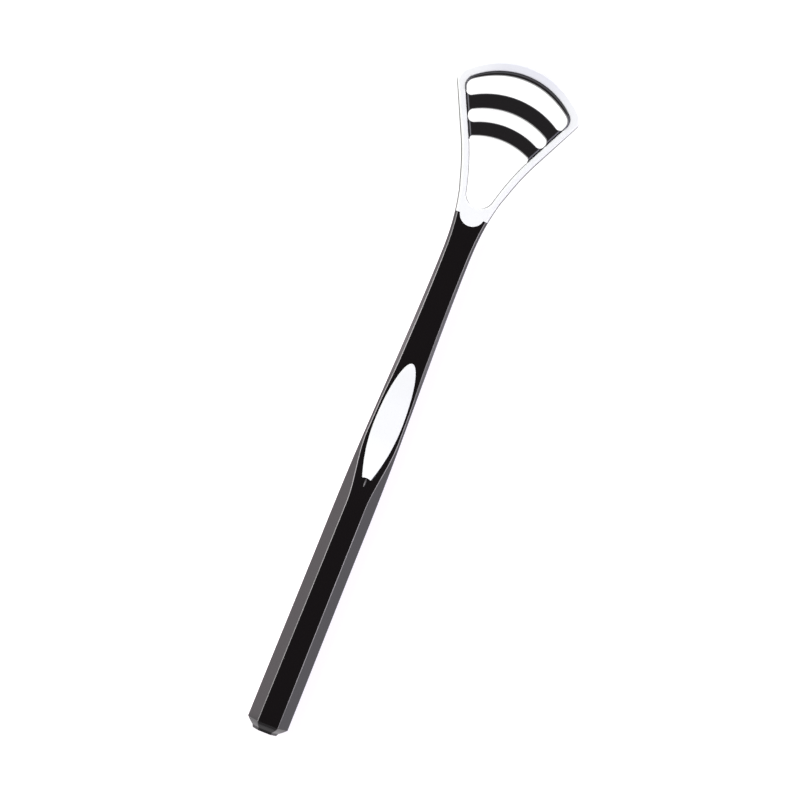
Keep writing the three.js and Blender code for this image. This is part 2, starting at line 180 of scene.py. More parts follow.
def rounded(corners: Sequence[Corner], closed: bool = True, facets: int = 6, border: float = 0.15) -> Ring:
    """Rounds the corners of an outline and keeps the straights flat with points close to each round.

    A round takes up no more than ROUND_SHARE of a side, a border no more than BORDER_SHARE of a straight.

    Args:
        corners: The outline's corners in order.
        closed: Whether the outline returns to its start; an open one keeps its two ends.
        facets: Pieces that each round is divided into.
        border: Distance of the extra points from the rounds.

    Returns:
        Points of the outline, as many for each corner.
    """
    arcs: list[Ring] = []
    for i, corner in enumerate(corners):
        if not closed and i in (0, len(corners) - 1):
            arcs.append([corner.at])
            continue
        before = corners[i - 1].at - corner.at
        after = corners[(i + 1) % len(corners)].at - corner.at
        turn = math.pi - before.angle(after)
        most = ROUND_SHARE * min(before.length, after.length)
        reach = min(corner.radius * math.tan(turn / 2), most)
        first = corner.at + before.normalized() * reach
        last = corner.at + after.normalized() * reach
        weight = math.cos(turn / 2)
        arc = []
        for t in steps(0, 1, facets):
            parts = ((1 - t) ** 2, 2 * t * (1 - t) * weight, t * t)
            arc.append((first * parts[0] + corner.at * parts[1] + last * parts[2]) / sum(parts))
        arcs.append(arc)
    points: Ring = []
    for i, arc in enumerate(arcs):
        points.extend(arc)
        if not closed and i == len(arcs) - 1:
            break
        side = arcs[(i + 1) % len(arcs)][0] - arc[-1]
        inwards = side.normalized() * min(border, BORDER_SHARE * side.length)
        points.append(arc[-1] + inwards)
        points.append(arc[-1] + side - inwards)
    return points


def painted(corners: Sequence[Corner], facets: int = 6) -> list[float]:
    """Painted highlight of the points that rounded makes of a closed outline.

    Args:
        corners: The outline's corners in order.
        facets: Pieces that each round is divided into.

    Returns:
        Painted highlight of each point, the corner's own in the middle of its round.
    """
    values: list[float] = []
    # Spreads the painted highlight of each corner over its round and the straights beside it.
    for i, corner in enumerate(corners):
        before = corners[i - 1].after
        for t in steps(0, 1, facets):
            beside = before + (corner.after - before) * t
            values.append(beside + (corner.wear - beside) * math.sin(math.pi * t))
        values.extend([corner.after] * 2)
    return values


def arc_points(centre: Vector, radius: float, start: float, stop: float, count: int) -> Ring:
    """Points on an arc in plan.

    Args:
        centre: Centre of the arc.
        radius: Radius of the arc.
        start: First angle in radians.
        stop: Last angle in radians.
        count: Number of intervals.

    Returns:
        Points from the first to the last angle.
    """
    return [centre + radius * Vector((math.cos(a), math.sin(a))) for a in steps(start, stop, count)]


@dataclass(frozen=True)
class ScraperForm:
    """Shape that all the pieces share.

    Its sizes are in millimetres, places from the butt and heights from the plane of the side corners.
    """

    butt_land: float = 0.76
    butt_chamfer: float = 1.75
    grip_length: float = 66.0
    taper_start: float = 58.0
    scoop_run_in: float = 20.5
    scoop_floor: float = 9.2
    scoop_run_out: float = 14.0
    neck_length: float = 29.8
    waist_to_horns: float = 11.5
    head_length: float = 43.6
    grip_width: float = 11.7
    flat_width: float = 11.5
    scoop_width: float = 11.32
    waist_width: float = 7.9
    neck_fullness: float = 0.12
    facet_slope: float = math.radians(60)
    crest_slope: float = math.radians(68)
    edge_radius: float = 0.3
    # Painted highlight on the left and right front edges, station by station along the scraper.
    left_highlight: Stations = (
        (0.0, 0.85),
        (30.0, 1.0),
        (62.0, 1.25),
        (80.0, 1.75),
        (108.0, 1.7),
        (135.0, 1.5),
        (150.0, 1.0),
    )
    right_highlight: Stations = (
        (4.0, 0.5),
        (16.0, 1.0),
        (60.0, 1.12),
        (70.0, 0.75),
        (80.0, 1.4),
        (100.0, 0.75),
        (126.0, 0.65),
        (138.0, 1.0),
    )
    back_flat_length: float = 90.0
    scoop_front: float = 1.1
    crest_front: float = 2.25
    waist_back: float = 2.5
    head_front: float = 1.2
    head_back: float = 1.8
    flare_radius: float = 72.0
    camber_rise: float = 3.5
    seam: float = 0.03

    @property
    def y_scoop(self) -> float:
        """Place where the thumb scoop starts to fall."""
        return self.grip_length

    @property
    def y_floor(self) -> float:
        """Start of the scoop's floor."""
        return self.y_scoop + self.scoop_run_in

    @property
    def y_rise(self) -> float:
        """End of the scoop's floor."""
        return self.y_floor + self.scoop_floor

    @property
    def y_crest(self) -> float:
        """End of the scoop."""
        return self.y_rise + self.scoop_run_out

    @property
    def y_waist(self) -> float:
        """Narrowest place of the neck."""
        return self.y_crest + self.neck_length

    @property
    def y_horns(self) -> float:
        """Tips of the horns that clasp the head."""
        return self.y_waist + self.waist_to_horns

    @property
    def y_tip(self) -> float:
        """Tip of the head."""
        return self.y_horns + self.head_length

    @property
    def grip_depth(self) -> float:
        """Depth of the six-sided grip behind its side corners."""
        return self.flat_width / 2 * math.sin(self.facet_slope)

    def half_width(self, y: float) -> float:
        """Half the width across the side corners.

        Args:
            y: Place along the scraper.

        Returns:
            Distance of a side corner from the middle line.
        """
        fuller = [
            (self.taper_start, 0),
            (self.y_floor, self.neck_fullness),
            (self.y_waist, self.neck_fullness),
            (self.y_horns, 0),
        ]
        if y > self.y_waist:
            rise = y - self.y_waist
            flare = self.flare_radius - math.sqrt(self.flare_radius**2 - rise**2)
            return self.waist_width / 2 + flare + eased(fuller)(y)
        stations = [
            (0, self.grip_width / 2),
            (self.taper_start, self.scoop_width / 2),
            (self.y_waist, self.waist_width / 2),
        ]
        return eased(stations)(y) + eased(fuller)(y)

    def front(self, y: float) -> float:
        """Height of the front face.

        Args:
            y: Place along the scraper.

        Returns:
            Height above the side corners.
        """
        stations = [
            (0, self.grip_depth),
            (self.y_scoop, self.grip_depth),
            (self.y_floor, self.scoop_front),
            (self.y_rise, self.scoop_front),
            (self.y_crest, self.crest_front),
            (self.y_horns, self.head_front),
        ]
        return eased(stations)(y)

    def back(self, y: float) -> float:
        """Depth of the back face.

        Args:
            y: Place along the scraper.

        Returns:
            Depth below the side corners.
        """
        stations = [
            (0, self.grip_depth),
            (self.back_flat_length, self.grip_depth),
            (self.y_waist, self.waist_back),
            (self.y_horns, self.head_back),
        ]
        return eased(stations)(y)

    def front_slope(self, y: float) -> float:
        """Slope of the front's side facets, steepest where the neck starts.

        Args:
            y: Place along the scraper.

        Returns:
            Height against distance across the facet.
        """
        stations = [
            (self.y_rise, self.facet_slope),
            (self.y_crest, self.crest_slope),
            (self.y_horns, self.facet_slope),
        ]
        return math.tan(eased(stations)(y))

    def camber(self, y: float) -> float:
        """Rise of the head's middle plane towards the front at a place."""
        return self.camber_rise * max(0.0, (y - self.y_horns) / self.head_length) ** 2

    def corners(self, y: float, share: float = 1.0, shrink: float = 0.0) -> list[Corner]:
        """Corners of the six-sided section, with painted highlights on the two front edges.

        Args:
            y: Place along the scraper.
            share: Size against the full section.
            shrink: Amount that each face lies inside the full section.

        Returns:
            The corners, distance from the middle line and height above the side corners.
        """
        side = self.half_width(y) * share - shrink
        front = self.front(y) * share - shrink
        back = self.back(y) * share - shrink
        slope = math.tan(self.facet_slope)
        edge = side - front / self.front_slope(y)
        return [
            Corner(side, 0, self.edge_radius),
            Corner(edge, front, self.edge_radius, straight(self.right_highlight)(y)),
            Corner(-edge, front, self.edge_radius, straight(self.left_highlight)(y)),
            Corner(-side, 0, self.edge_radius),
            Corner(back / slope - side, -back, self.edge_radius),
            Corner(side - back / slope, -back, self.edge_radius),
        ]

    def section(self, y: float, share: float = 1.0, shrink: float = 0.0) -> Ring:
        """Six-sided section with its edges rounded.

        Args:
            y: Place along the scraper.
            share: Size against the full section.
            shrink: Amount that each face lies inside the full section.

        Returns:
            Closed ring of points.
        """
        lift = self.camber(y)
        return [Vector((p.x, y, p.y + lift)) for p in rounded(self.corners(y, share, shrink))]

    def head_section(self, start: Vector, way: Vector, corners: Sequence[Corner]) -> Ring:
        """Section of the head, upright on a line in plan and lifted by the camber.

        Args:
            start: Place in plan from which the section's distances are measured.
            way: Direction of the distances in plan.
            corners: The section's corners, distance and height above the head's middle plane.

        Returns:
            Closed ring of points.
        """
        ring = []
        for p in rounded(corners):
            at = start + way * p.x
            ring.append(Vector((at.x, at.y, p.y + self.camber(at.y))))
        return ring

    @property
    def origin(self) -> Vector:
        """Place of the shared frame's origin, on the back of the grip at half the length."""
        return Vector((0, self.y_tip / 2, -self.grip_depth))

    def placed(self, point: Vector) -> Vector:
        """Point of the scraper, in millimetres from the butt, as a point of the shared frame in metres."""
        return MM * (point - self.origin)

    def measured(self, place: Vector) -> Vector:
        """Point of the shared frame, in metres, as a point of the scraper in millimetres from the butt."""
        return place / MM + self.origin


@dataclass
class Shell:
    """Skin that is gathered from lofts before it becomes a mesh, with the painted highlight of its points."""

    # Name of the mesh attribute that holds each point's painted highlight.
    HIGHLIGHT = "painted_highlight_share"
    CAP_BORDER = 0.12

    form: ScraperForm
    points: Ring = field(default_factory=list)
    wear: list[float] = field(default_factory=list)
    faces: list[tuple[int, ...]] = field(default_factory=list)

    def loft(
        self,
        rings: Sequence[Ring],
        loop: bool = False,
        cap: CapStyle = CapStyle.BORDERED,
        wear: Sequence[Sequence[float]] | None = None,
    ) -> "Shell":
        """Adds a skin over rings of equal point count.

        Args:
            rings: The rings in order.
            loop: Whether the last ring joins the first.
            cap: How open ends are closed.
            highlight: Painted highlight of the rings' points, or None for none.

        Returns:
            This shell.
        """
        size = len(rings[0])
        highlight_rings = wear or [[0.0] * size] * len(rings)
        starts = [self._add(ring, values) for ring, values in zip(rings, highlight_rings)]
        pairs = list(zip(starts, starts[1:] + starts[:1] if loop else starts[1:]))
        for here, there in pairs:
            for i in range(size):
                j = (i + 1) % size
                self.faces.append((here + i, here + j, there + j, there + i))
        if not loop:
            self._close(rings[0], starts[0], cap)
            self._close(rings[-1], starts[-1], cap)
        return self

    def _add(self, ring: Ring, wear: Sequence[float]) -> int:
        """Adds the points of a ring.

        Args:
            ring: The points.
            highlight: Painted highlight of each point.

        Returns:
            Number of the first point.
        """
        self.points.extend(ring)
        self.wear.extend(wear)
        return len(self.points) - len(ring)

    def _close(self, ring: Ring, start: int, cap: CapStyle) -> None:
        """Closes an open end.

        Args:
            ring: Points of the end.
            start: Number of the ring's first point.
            cap: How the end is closed.
        """
        size = len(ring)
        if cap is CapStyle.BORDERED:
            middle = sum(ring, Vector((0, 0, 0))) / size
            inner = self._add([p.lerp(middle, self.CAP_BORDER) for p in ring], [0.0] * size)
            for i in range(size):
                j = (i + 1) % size
                self.faces.append((start + i, start + j, inner + j, inner + i))
            start = inner
        self.faces.append(tuple(range(start, start + size)))

    def object(self, name: str) -> bpy.types.Object:
        """Makes a mesh object in the shared frame.

        Args:
            name: Name of the object.

        Returns:
            The object, linked to the scene.
        """
        mesh = bpy.data.meshes.new(name)
        mesh.from_pydata([self.form.placed(p) for p in self.points], [], self.faces)
        mesh.attributes.new(self.HIGHLIGHT, "FLOAT", "POINT").data.foreach_set("value", self.wear)
        made = bpy.data.objects.new(name, mesh)
        bpy.context.scene.collection.objects.link(made)
        Workshop.face_outwards(made)
        return made

    @classmethod
    def prism(cls, form: ScraperForm, plan: Ring, name: str) -> bpy.types.Object:
        """Makes an upright prism that reaches through the whole scraper.

        Args:
            form: Shape of the scraper.
            plan: Outline of the prism in plan.
            name: Name of the object.

        Returns:
            The prism, as a tool for cuts.
        """
        reach = form.grip_width
        rings = [[Vector((p.x, p.y, z)) for p in plan] for z in (-reach, reach)]
        return cls(form).loft(rings, cap=CapStyle.PLAIN).object(name)


class Workshop:
    """Mesh work that every piece needs."""

    SHARP = math.radians(34)
    SLIVER = 0.000001

    @staticmethod
    def face_outwards(made: bpy.types.Object) -> None:
        """Turns all the faces of a closed mesh outwards.

        Args:
            made: Object with the mesh.
        """
        work = bmesh.new()
        work.from_mesh(made.data)
        bmesh.ops.recalc_face_normals(work, faces=work.faces)
        work.to_mesh(made.data)
        work.free()

    @classmethod
    def carve(cls, body: bpy.types.Object, tools: Sequence[bpy.types.Object]) -> None:
        """Cuts tools out of a body and removes them."""
        cls._combine(body, tools, Fit.CUT)

    @classmethod
    def unite(cls, body: bpy.types.Object, others: Sequence[bpy.types.Object]) -> None:
        """Makes one skin of a body and others that reach into it, and removes the others."""
        cls._combine(body, others, Fit.UNITE)

    @classmethod
    def _combine(cls, body: bpy.types.Object, tools: Sequence[bpy.types.Object], fit: Fit) -> None:
        """Cuts or unites closed objects.

        Args:
            body: Object that is changed.
            tools: Objects that are taken away or added, and removed afterwards.
            fit: What the tools do to the body.
        """
        for tool in tools:
            change = body.modifiers.new(tool.name, "BOOLEAN")
            change.operation = fit.value
            change.solver = "EXACT"
            change.object = tool
        graph = bpy.context.evaluated_depsgraph_get()
        changed = bpy.data.meshes.new_from_object(body.evaluated_get(graph))
        body.modifiers.clear()
        plain = body.data
        body.data = changed
        changed.name = body.name
        bpy.data.meshes.remove(plain)
        for tool in tools:
            bpy.data.meshes.remove(tool.data)
        cls._clean(changed)

    @classmethod
    def _clean(cls, mesh: bpy.types.Mesh) -> None:
        """Dissolves the slivers that a cut has left.

        Args:
            mesh: Mesh that was cut.
        """
        work = bmesh.new()
        work.from_mesh(mesh)
        bmesh.ops.dissolve_degenerate(work, dist=cls.SLIVER, edges=work.edges)
        work.to_mesh(mesh)
        work.free()

    @classmethod
    def shade(cls, made: bpy.types.Object) -> None:
        """Shades a mesh smoothly, apart from its sharp edges."""
        made.data.shade_smooth()
        made.data.set_sharp_from_angle(angle=cls.SHARP)


@dataclass
class NodeBench:
    """Node tree under construction."""

    tree: bpy.types.NodeTree

    def add(self, kind: str, settings: dict | None = None, **inputs: object) -> bpy.types.Node:
        """Adds a node.

        Args:
            kind: Blender's name of the node.
            settings: Properties of the node.
            inputs: Values or output sockets for its inputs, with _ for a space in the input's name.

        Returns:
            The node.
        """
        node = self.tree.nodes.new(kind)
        for name, value in (settings or {}).items():
            setattr(node, name, value)
        for name, value in inputs.items():
            self.feed(node.inputs[name.replace("_", " ")], value)
        return node

    def feed(self, socket: bpy.types.NodeSocket, value: object) -> None:
        """Links an output to a socket, or sets the socket's value.

        Args:
            socket: Input of a node.
            value: Output socket or plain value.
        """
        if isinstance(value, bpy.types.NodeSocket):
            self.tree.links.new(value, socket)
        else:
            socket.default_value = value

    def math(self, operation: str, first: object, second: object = 0.0) -> bpy.types.NodeSocket:
        """Adds a calculation with two values.

        Args:
            operation: Blender's name of the operation.
            first: First value or output socket.
            second: Second value or output socket.

        Returns:
            Socket with the result.
        """
        node = self.add("ShaderNodeMath", {"operation": operation})
        self.feed(node.inputs[0], first)
        self.feed(node.inputs[1], second)
        return node.outputs[0]

    def blend(self, share: object, first: object, second: object) -> bpy.types.NodeSocket:
        """Adds a mix of two colours.

        Args:
            share: Share of the second colour.
            first: Colour or output socket.
            second: Colour or output socket.

        Returns:
            Socket with the result.
        """
        node = self.add("ShaderNodeMix", {"data_type": "RGBA"})
        self.feed(node.inputs[0], share)
        for socket, colour in ((node.inputs[6], first), (node.inputs[7], second)):
            self.feed(socket, (*colour, 1.0) if isinstance(colour, tuple) else colour)
        return node.outputs[2]

    def ramp(self, value: object, low: object, high: object) -> bpy.types.NodeSocket:
        """Adds a smooth ramp.

        Args:
            value: Value or output socket that the ramp follows.
            low: Value where the ramp is 0.
            high: Value where the ramp is 1.

        Returns:
            Socket with the result.
        """
        smooth = {"interpolation_type": "SMOOTHSTEP"}
        return self.add("ShaderNodeMapRange", smooth, Value=value, From_Min=low, From_Max=high).outputs[0]


class EffectGroup:
    """Shader node group that several finishes share, built once."""

    NAME = "effect"
    INPUTS: tuple[tuple[str, float], ...] = ()
    OUTPUTS: tuple[str, ...] = ()

    @classmethod
    def tree(cls) -> bpy.types.NodeTree:
        """Builds the group on first use.

        Returns:
            The group's node tree.
        """
        known = bpy.data.node_groups.get(cls.NAME)
        if known:
            return known
        tree = bpy.data.node_groups.new(cls.NAME, "ShaderNodeTree")
        for name, value in cls.INPUTS:
            socket = tree.interface.new_socket(name, in_out="INPUT", socket_type="NodeSocketFloat")
            socket.default_value = value
        for name in cls.OUTPUTS:
            tree.interface.new_socket(name, in_out="OUTPUT", socket_type="NodeSocketFloat")
        bench = NodeBench(tree)
        given = bench.add("NodeGroupInput")
        results = cls.wire(bench, given)
        out = bench.add("NodeGroupOutput")
        for name in cls.OUTPUTS:
            tree.links.new(results[name], out.inputs[name])
        return tree

    @classmethod
    def wire(cls, bench: NodeBench, given: bpy.types.Node) -> dict[str, bpy.types.NodeSocket]:
        """Adds the group's nodes.

        Args:
            bench: Bench with the group's tree.
            given: Node with the group's inputs.

        Returns:
            Sockets with the results, by name.
        """
        raise NotImplementedError

    @classmethod
    def place(cls, bench: NodeBench, **values: float) -> bpy.types.Node:
        """Places the group in a material with its own values."""
        return bench.add("ShaderNodeGroup", {"node_tree": cls.tree()}, **values)


class MouldedGrain(EffectGroup):
    """Skin of a moulding: slow flow waves, a fine grain, and gloss that varies with the grain."""

    NAME = "moulded_grain"
    INPUTS = (
        ("Wave Scale", 120.0),
        ("Grain Scale", 5000.0),
        ("Grain Share", 0.4),
        ("Gloss", 0.2),
        ("Gloss Spread", 0.05),
    )
    OUTPUTS = ("Height", "Roughness")
    FLOW = (1.0, 0.12, 1.0)
    WAVE_DETAIL = 2.0
    GRAIN_DETAIL = 3.0
    GRAIN_MEAN = 0.5

    @classmethod
    def wire(cls, bench: NodeBench, given: bpy.types.Node) -> dict[str, bpy.types.NodeSocket]:
        """Adds the group's nodes.

        Args:
            bench: Bench with the group's tree.
            given: Node with the group's inputs.

        Returns:
            Sockets with the results, by name.
        """
        place = bench.add("ShaderNodeTexCoord").outputs["Object"]
        drawn = bench.add("ShaderNodeMapping", Vector=place, Scale=cls.FLOW).outputs[0]
        sizes = given.outputs["Wave Scale"], given.outputs["Grain Scale"]
        waves = bench.add("ShaderNodeTexNoise", Vector=drawn, Scale=sizes[0], Detail=cls.WAVE_DETAIL)
        grain = bench.add("ShaderNodeTexNoise", Vector=place, Scale=sizes[1], Detail=cls.GRAIN_DETAIL)
        fine = bench.math("MULTIPLY", grain.outputs[0], given.outputs["Grain Share"])
        height = bench.math("ADD", waves.outputs[0], fine)
        centred = bench.math("SUBTRACT", grain.outputs[0], cls.GRAIN_MEAN)
        spread = bench.math("MULTIPLY", centred, given.outputs["Gloss Spread"])
        return {"Height": height, "Roughness": bench.math("ADD", given.outputs["Gloss"], spread)}


class PaintedEdgeHighlight(EffectGroup):
    """Painted highlight: a mask on the mesh's marked edges, broken up by patches."""

    NAME = "painted_edge_highlight"
    INPUTS = (("Patch Scale", 500.0), ("Patchiness", 0.5), ("Amount", 0.5))
    OUTPUTS = ("Mask",)
    PATCH_DETAIL = 4.0

    @classmethod
    def wire(cls, bench: NodeBench, given: bpy.types.Node) -> dict[str, bpy.types.NodeSocket]:
        """Adds the group's nodes.

        Args:
            bench: Bench with the group's tree.
            given: Node with the group's inputs.

        Returns:
            Sockets with the results, by name.
        """
        # Painted highlight along the marked edges, with patchy gaps.
        edge = bench.add("ShaderNodeAttribute", {"attribute_name": Shell.HIGHLIGHT}).outputs["Fac"]
        place = bench.add("ShaderNodeTexCoord").outputs["Object"]
        size = given.outputs["Patch Scale"]
        patches = bench.add("ShaderNodeTexNoise", Vector=place, Scale=size, Detail=cls.PATCH_DETAIL)
        patch_gaps = bench.math("MULTIPLY", patches.outputs[0], given.outputs["Patchiness"])
        broken = bench.math("MULTIPLY", edge, bench.math("SUBTRACT", 1.0, patch_gaps))
        return {"Mask": bench.math("MULTIPLY", broken, given.outputs["Amount"])}


class PaintedOutline(EffectGroup):
    """Painted shade: a dark outline mask along the plane of the side corners, where the edges turn away from
    the light.

    It is gone at the crown and in the middle.
    """

    NAME = "painted_outline_shade"
    INPUTS = (("Half Height", 0.0007), ("Amount", 0.5))
    OUTPUTS = ("Mask",)
    FADE_START = 0.0862
    FADE_STOP = 0.0880
    CLEAR_UP_TO = 0.0010
    WHOLE_FROM = 0.0030
    SOFT_FROM = 0.6

    @classmethod
    def wire(cls, bench: NodeBench, given: bpy.types.Node) -> dict[str, bpy.types.NodeSocket]:
        """Adds the group's nodes.

        Args:
            bench: Bench with the group's tree.
            given: Node with the group's inputs.

        Returns:
            Sockets with the results, by name.
        """
        form = ScraperForm()
        horns = form.placed(Vector((0, form.y_horns, 0)))
        place = bench.add("ShaderNodeTexCoord").outputs["Object"]
        axes = bench.add("ShaderNodeSeparateXYZ", Vector=place)
        past = bench.math("MAXIMUM", bench.math("SUBTRACT", axes.outputs["Y"], horns.y))
        share = bench.math("DIVIDE", past, form.head_length * MM)
        rise = bench.math("MULTIPLY", bench.math("MULTIPLY", share, share), form.camber_rise * MM)
        above = bench.math("SUBTRACT", bench.math("SUBTRACT", axes.outputs["Z"], horns.z), rise)
        # Painted outline shade, strongest on the plane of the side corners.
        off = bench.math("DIVIDE", bench.math("ABSOLUTE", above), given.outputs["Half Height"])
        line = bench.ramp(off, 1.0, cls.SOFT_FROM)
        below = bench.ramp(axes.outputs["Y"], cls.FADE_STOP, cls.FADE_START)
        aside = bench.ramp(bench.math("ABSOLUTE", axes.outputs["X"]), cls.CLEAR_UP_TO, cls.WHOLE_FROM)
        left = bench.math("MULTIPLY", bench.math("MULTIPLY", line, below), aside)
        return {"Mask": bench.math("MULTIPLY", left, given.outputs["Amount"])}


class PaintedCrownShade(EffectGroup):
    """Painted shade: a cooler, darker mask over the crown that fades towards the wings."""

    NAME = "painted_crown_shade"
    INPUTS = (("Start", 0.0905), ("Stop", 0.0935), ("Middle", 0.005), ("Wing", 0.016))
    OUTPUTS = ("Mask",)
    BOW = 24.0

    @classmethod
    def wire(cls, bench: NodeBench, given: bpy.types.Node) -> dict[str, bpy.types.NodeSocket]:
        """Adds the group's nodes.

        Args:
            bench: Bench with the group's tree.
            given: Node with the group's inputs.

        Returns:
            Sockets with the results, by name.
        """
        place = bench.add("ShaderNodeTexCoord").outputs["Object"]
        axes = bench.add("ShaderNodeSeparateXYZ", Vector=place)
        # Painted shade over the crown rim, fading towards the wings.
        bow = bench.math("MULTIPLY", bench.math("POWER", axes.outputs["X"], 2.0), cls.BOW)
        level = bench.math("ADD", axes.outputs["Y"], bow)
        along = bench.ramp(level, given.outputs["Start"], given.outputs["Stop"])
        off = bench.math("ABSOLUTE", axes.outputs["X"])
        across = bench.ramp(off, given.outputs["Wing"], given.outputs["Middle"])
        return {"Mask": bench.math("MULTIPLY", along, across)}


@dataclass(frozen=True)
class Finish:
    """Moulded surface: its colours, gloss and grain, and the colours and amounts of its painted highlights
    and painted shade.
    """

    name: str
    slot: Slot
    body: Colour
    # Colour that the painted marks are blended towards: lighter for painted highlights, dark for painted
    # shade.
    painted: Colour
    gloss: float
    gloss_spread: float
    wave_scale: float
    grain_scale: float
    grain_share: float
    bump_depth: float
    # Amounts of the painted edge highlight and of the painted outline shade.
    wear: float
    outline_shade: float
    index: float
    # Colour of the painted shade over the crown.
    crown_shade: Colour

    def material(self) -> bpy.types.Material:
        """Builds the node material.

        Returns:
            The material, built on first use.
        """
        known = bpy.data.materials.get(self.name)
        if known:
            return known
        made = bpy.data.materials.new(self.name)
        made.use_nodes = True
        made.diffuse_color = (*self.body, 1.0)
        made.node_tree.nodes.clear()
        bench = NodeBench(made.node_tree)
        grain = MouldedGrain.place(
            bench,
            Wave_Scale=self.wave_scale,
            Grain_Scale=self.grain_scale,
            Grain_Share=self.grain_share,
            Gloss=self.gloss,
            Gloss_Spread=self.gloss_spread,
        )
        # Painted highlight on the marked edges, painted shade along the outline and over the crown.
        wear = PaintedEdgeHighlight.place(bench, Amount=self.wear)
        line = PaintedOutline.place(bench, Amount=self.outline_shade)
        mask = bench.math("MAXIMUM", wear.outputs["Mask"], line.outputs["Mask"])
        crown_shaded = bench.blend(PaintedCrownShade.place(bench).outputs["Mask"], self.body, self.crown_shade)
        colour = bench.blend(mask, crown_shaded, self.painted)
        bump = bench.add(
            "ShaderNodeBump",
            Strength=1.0,
            Distance=self.bump_depth,
            Height=grain.outputs["Height"],
        )
        shader = bench.add(
            "ShaderNodeBsdfPrincipled",
            Base_Color=colour,
            Roughness=grain.outputs["Roughness"],
            Normal=bump.outputs[0],
            IOR=self.index,
        )
        out = bench.add("ShaderNodeOutputMaterial")
        made.node_tree.links.new(shader.outputs[0], out.inputs[0])
        return made

    def dress(self, piece: bpy.types.Object, node: str) -> None:
        """Gives a piece this finish and ties it to the CAD node that it stands for.

        Args:
            piece: The finished mesh.
            node: Name of the CAD node.
        """
        piece.data.materials.clear()
        piece.data.materials.append(self.material())
        Workshop.shade(piece)
        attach(piece, BODY)
        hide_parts(node)
        LOG.info("%s stands for %s with %d faces", piece.name, node, len(piece.data.polygons))


GLOSS_BLACK = Finish(
    name="gloss_black_plastic",
    slot=Slot.BLACK_PLASTIC,
    body=(0.0066, 0.0058, 0.0064),
    # Grey of the painted edge highlights.
    painted=(0.42, 0.41, 0.42),
    gloss=0.16,
    gloss_spread=0.06,
    wave_scale=140.0,
    grain_scale=5200.0,
    grain_share=0.12,
    bump_depth=0.000004,
    wear=1.0,
    outline_shade=0.02,
    index=1.38,
    crown_shade=(0.0066, 0.0058, 0.0064),
)
COOL_WHITE = Finish(
    name="cool_white_plastic",
    slot=Slot.WHITE_PLASTIC,
    body=(0.885, 0.915, 0.925),
    # Dark grey of the painted outline shade.
    painted=(0.10, 0.092, 0.092),
    gloss=0.28,
    gloss_spread=0.06,
    wave_scale=160.0,
    grain_scale=4200.0,
    grain_share=0.2,
    bump_depth=0.000004,
    wear=0.0,
    # Full painted outline shade on the white.
    outline_shade=1.0,
    index=1.46,
    # Colour of the painted shade over the crown.
    crown_shade=(0.785, 0.81, 0.86),
)
SATIN_RUBBER = Finish(
    name="satin_black_rubber",
    slot=Slot.BLACK_RUBBER,
    body=(0.0078, 0.0074, 0.0084),
    # Grey of the painted highlights on the strips' edges, steps and legs.
    painted=(0.19, 0.19, 0.23),
    gloss=0.3,
    gloss_spread=0.1,
    wave_scale=420.0,
    grain_scale=6000.0,
    grain_share=0.8,
    bump_depth=0.000006,
    wear=1.0,
    outline_shade=0.0,
    index=1.5,
    crown_shade=(0.0078, 0.0074, 0.0084),
)


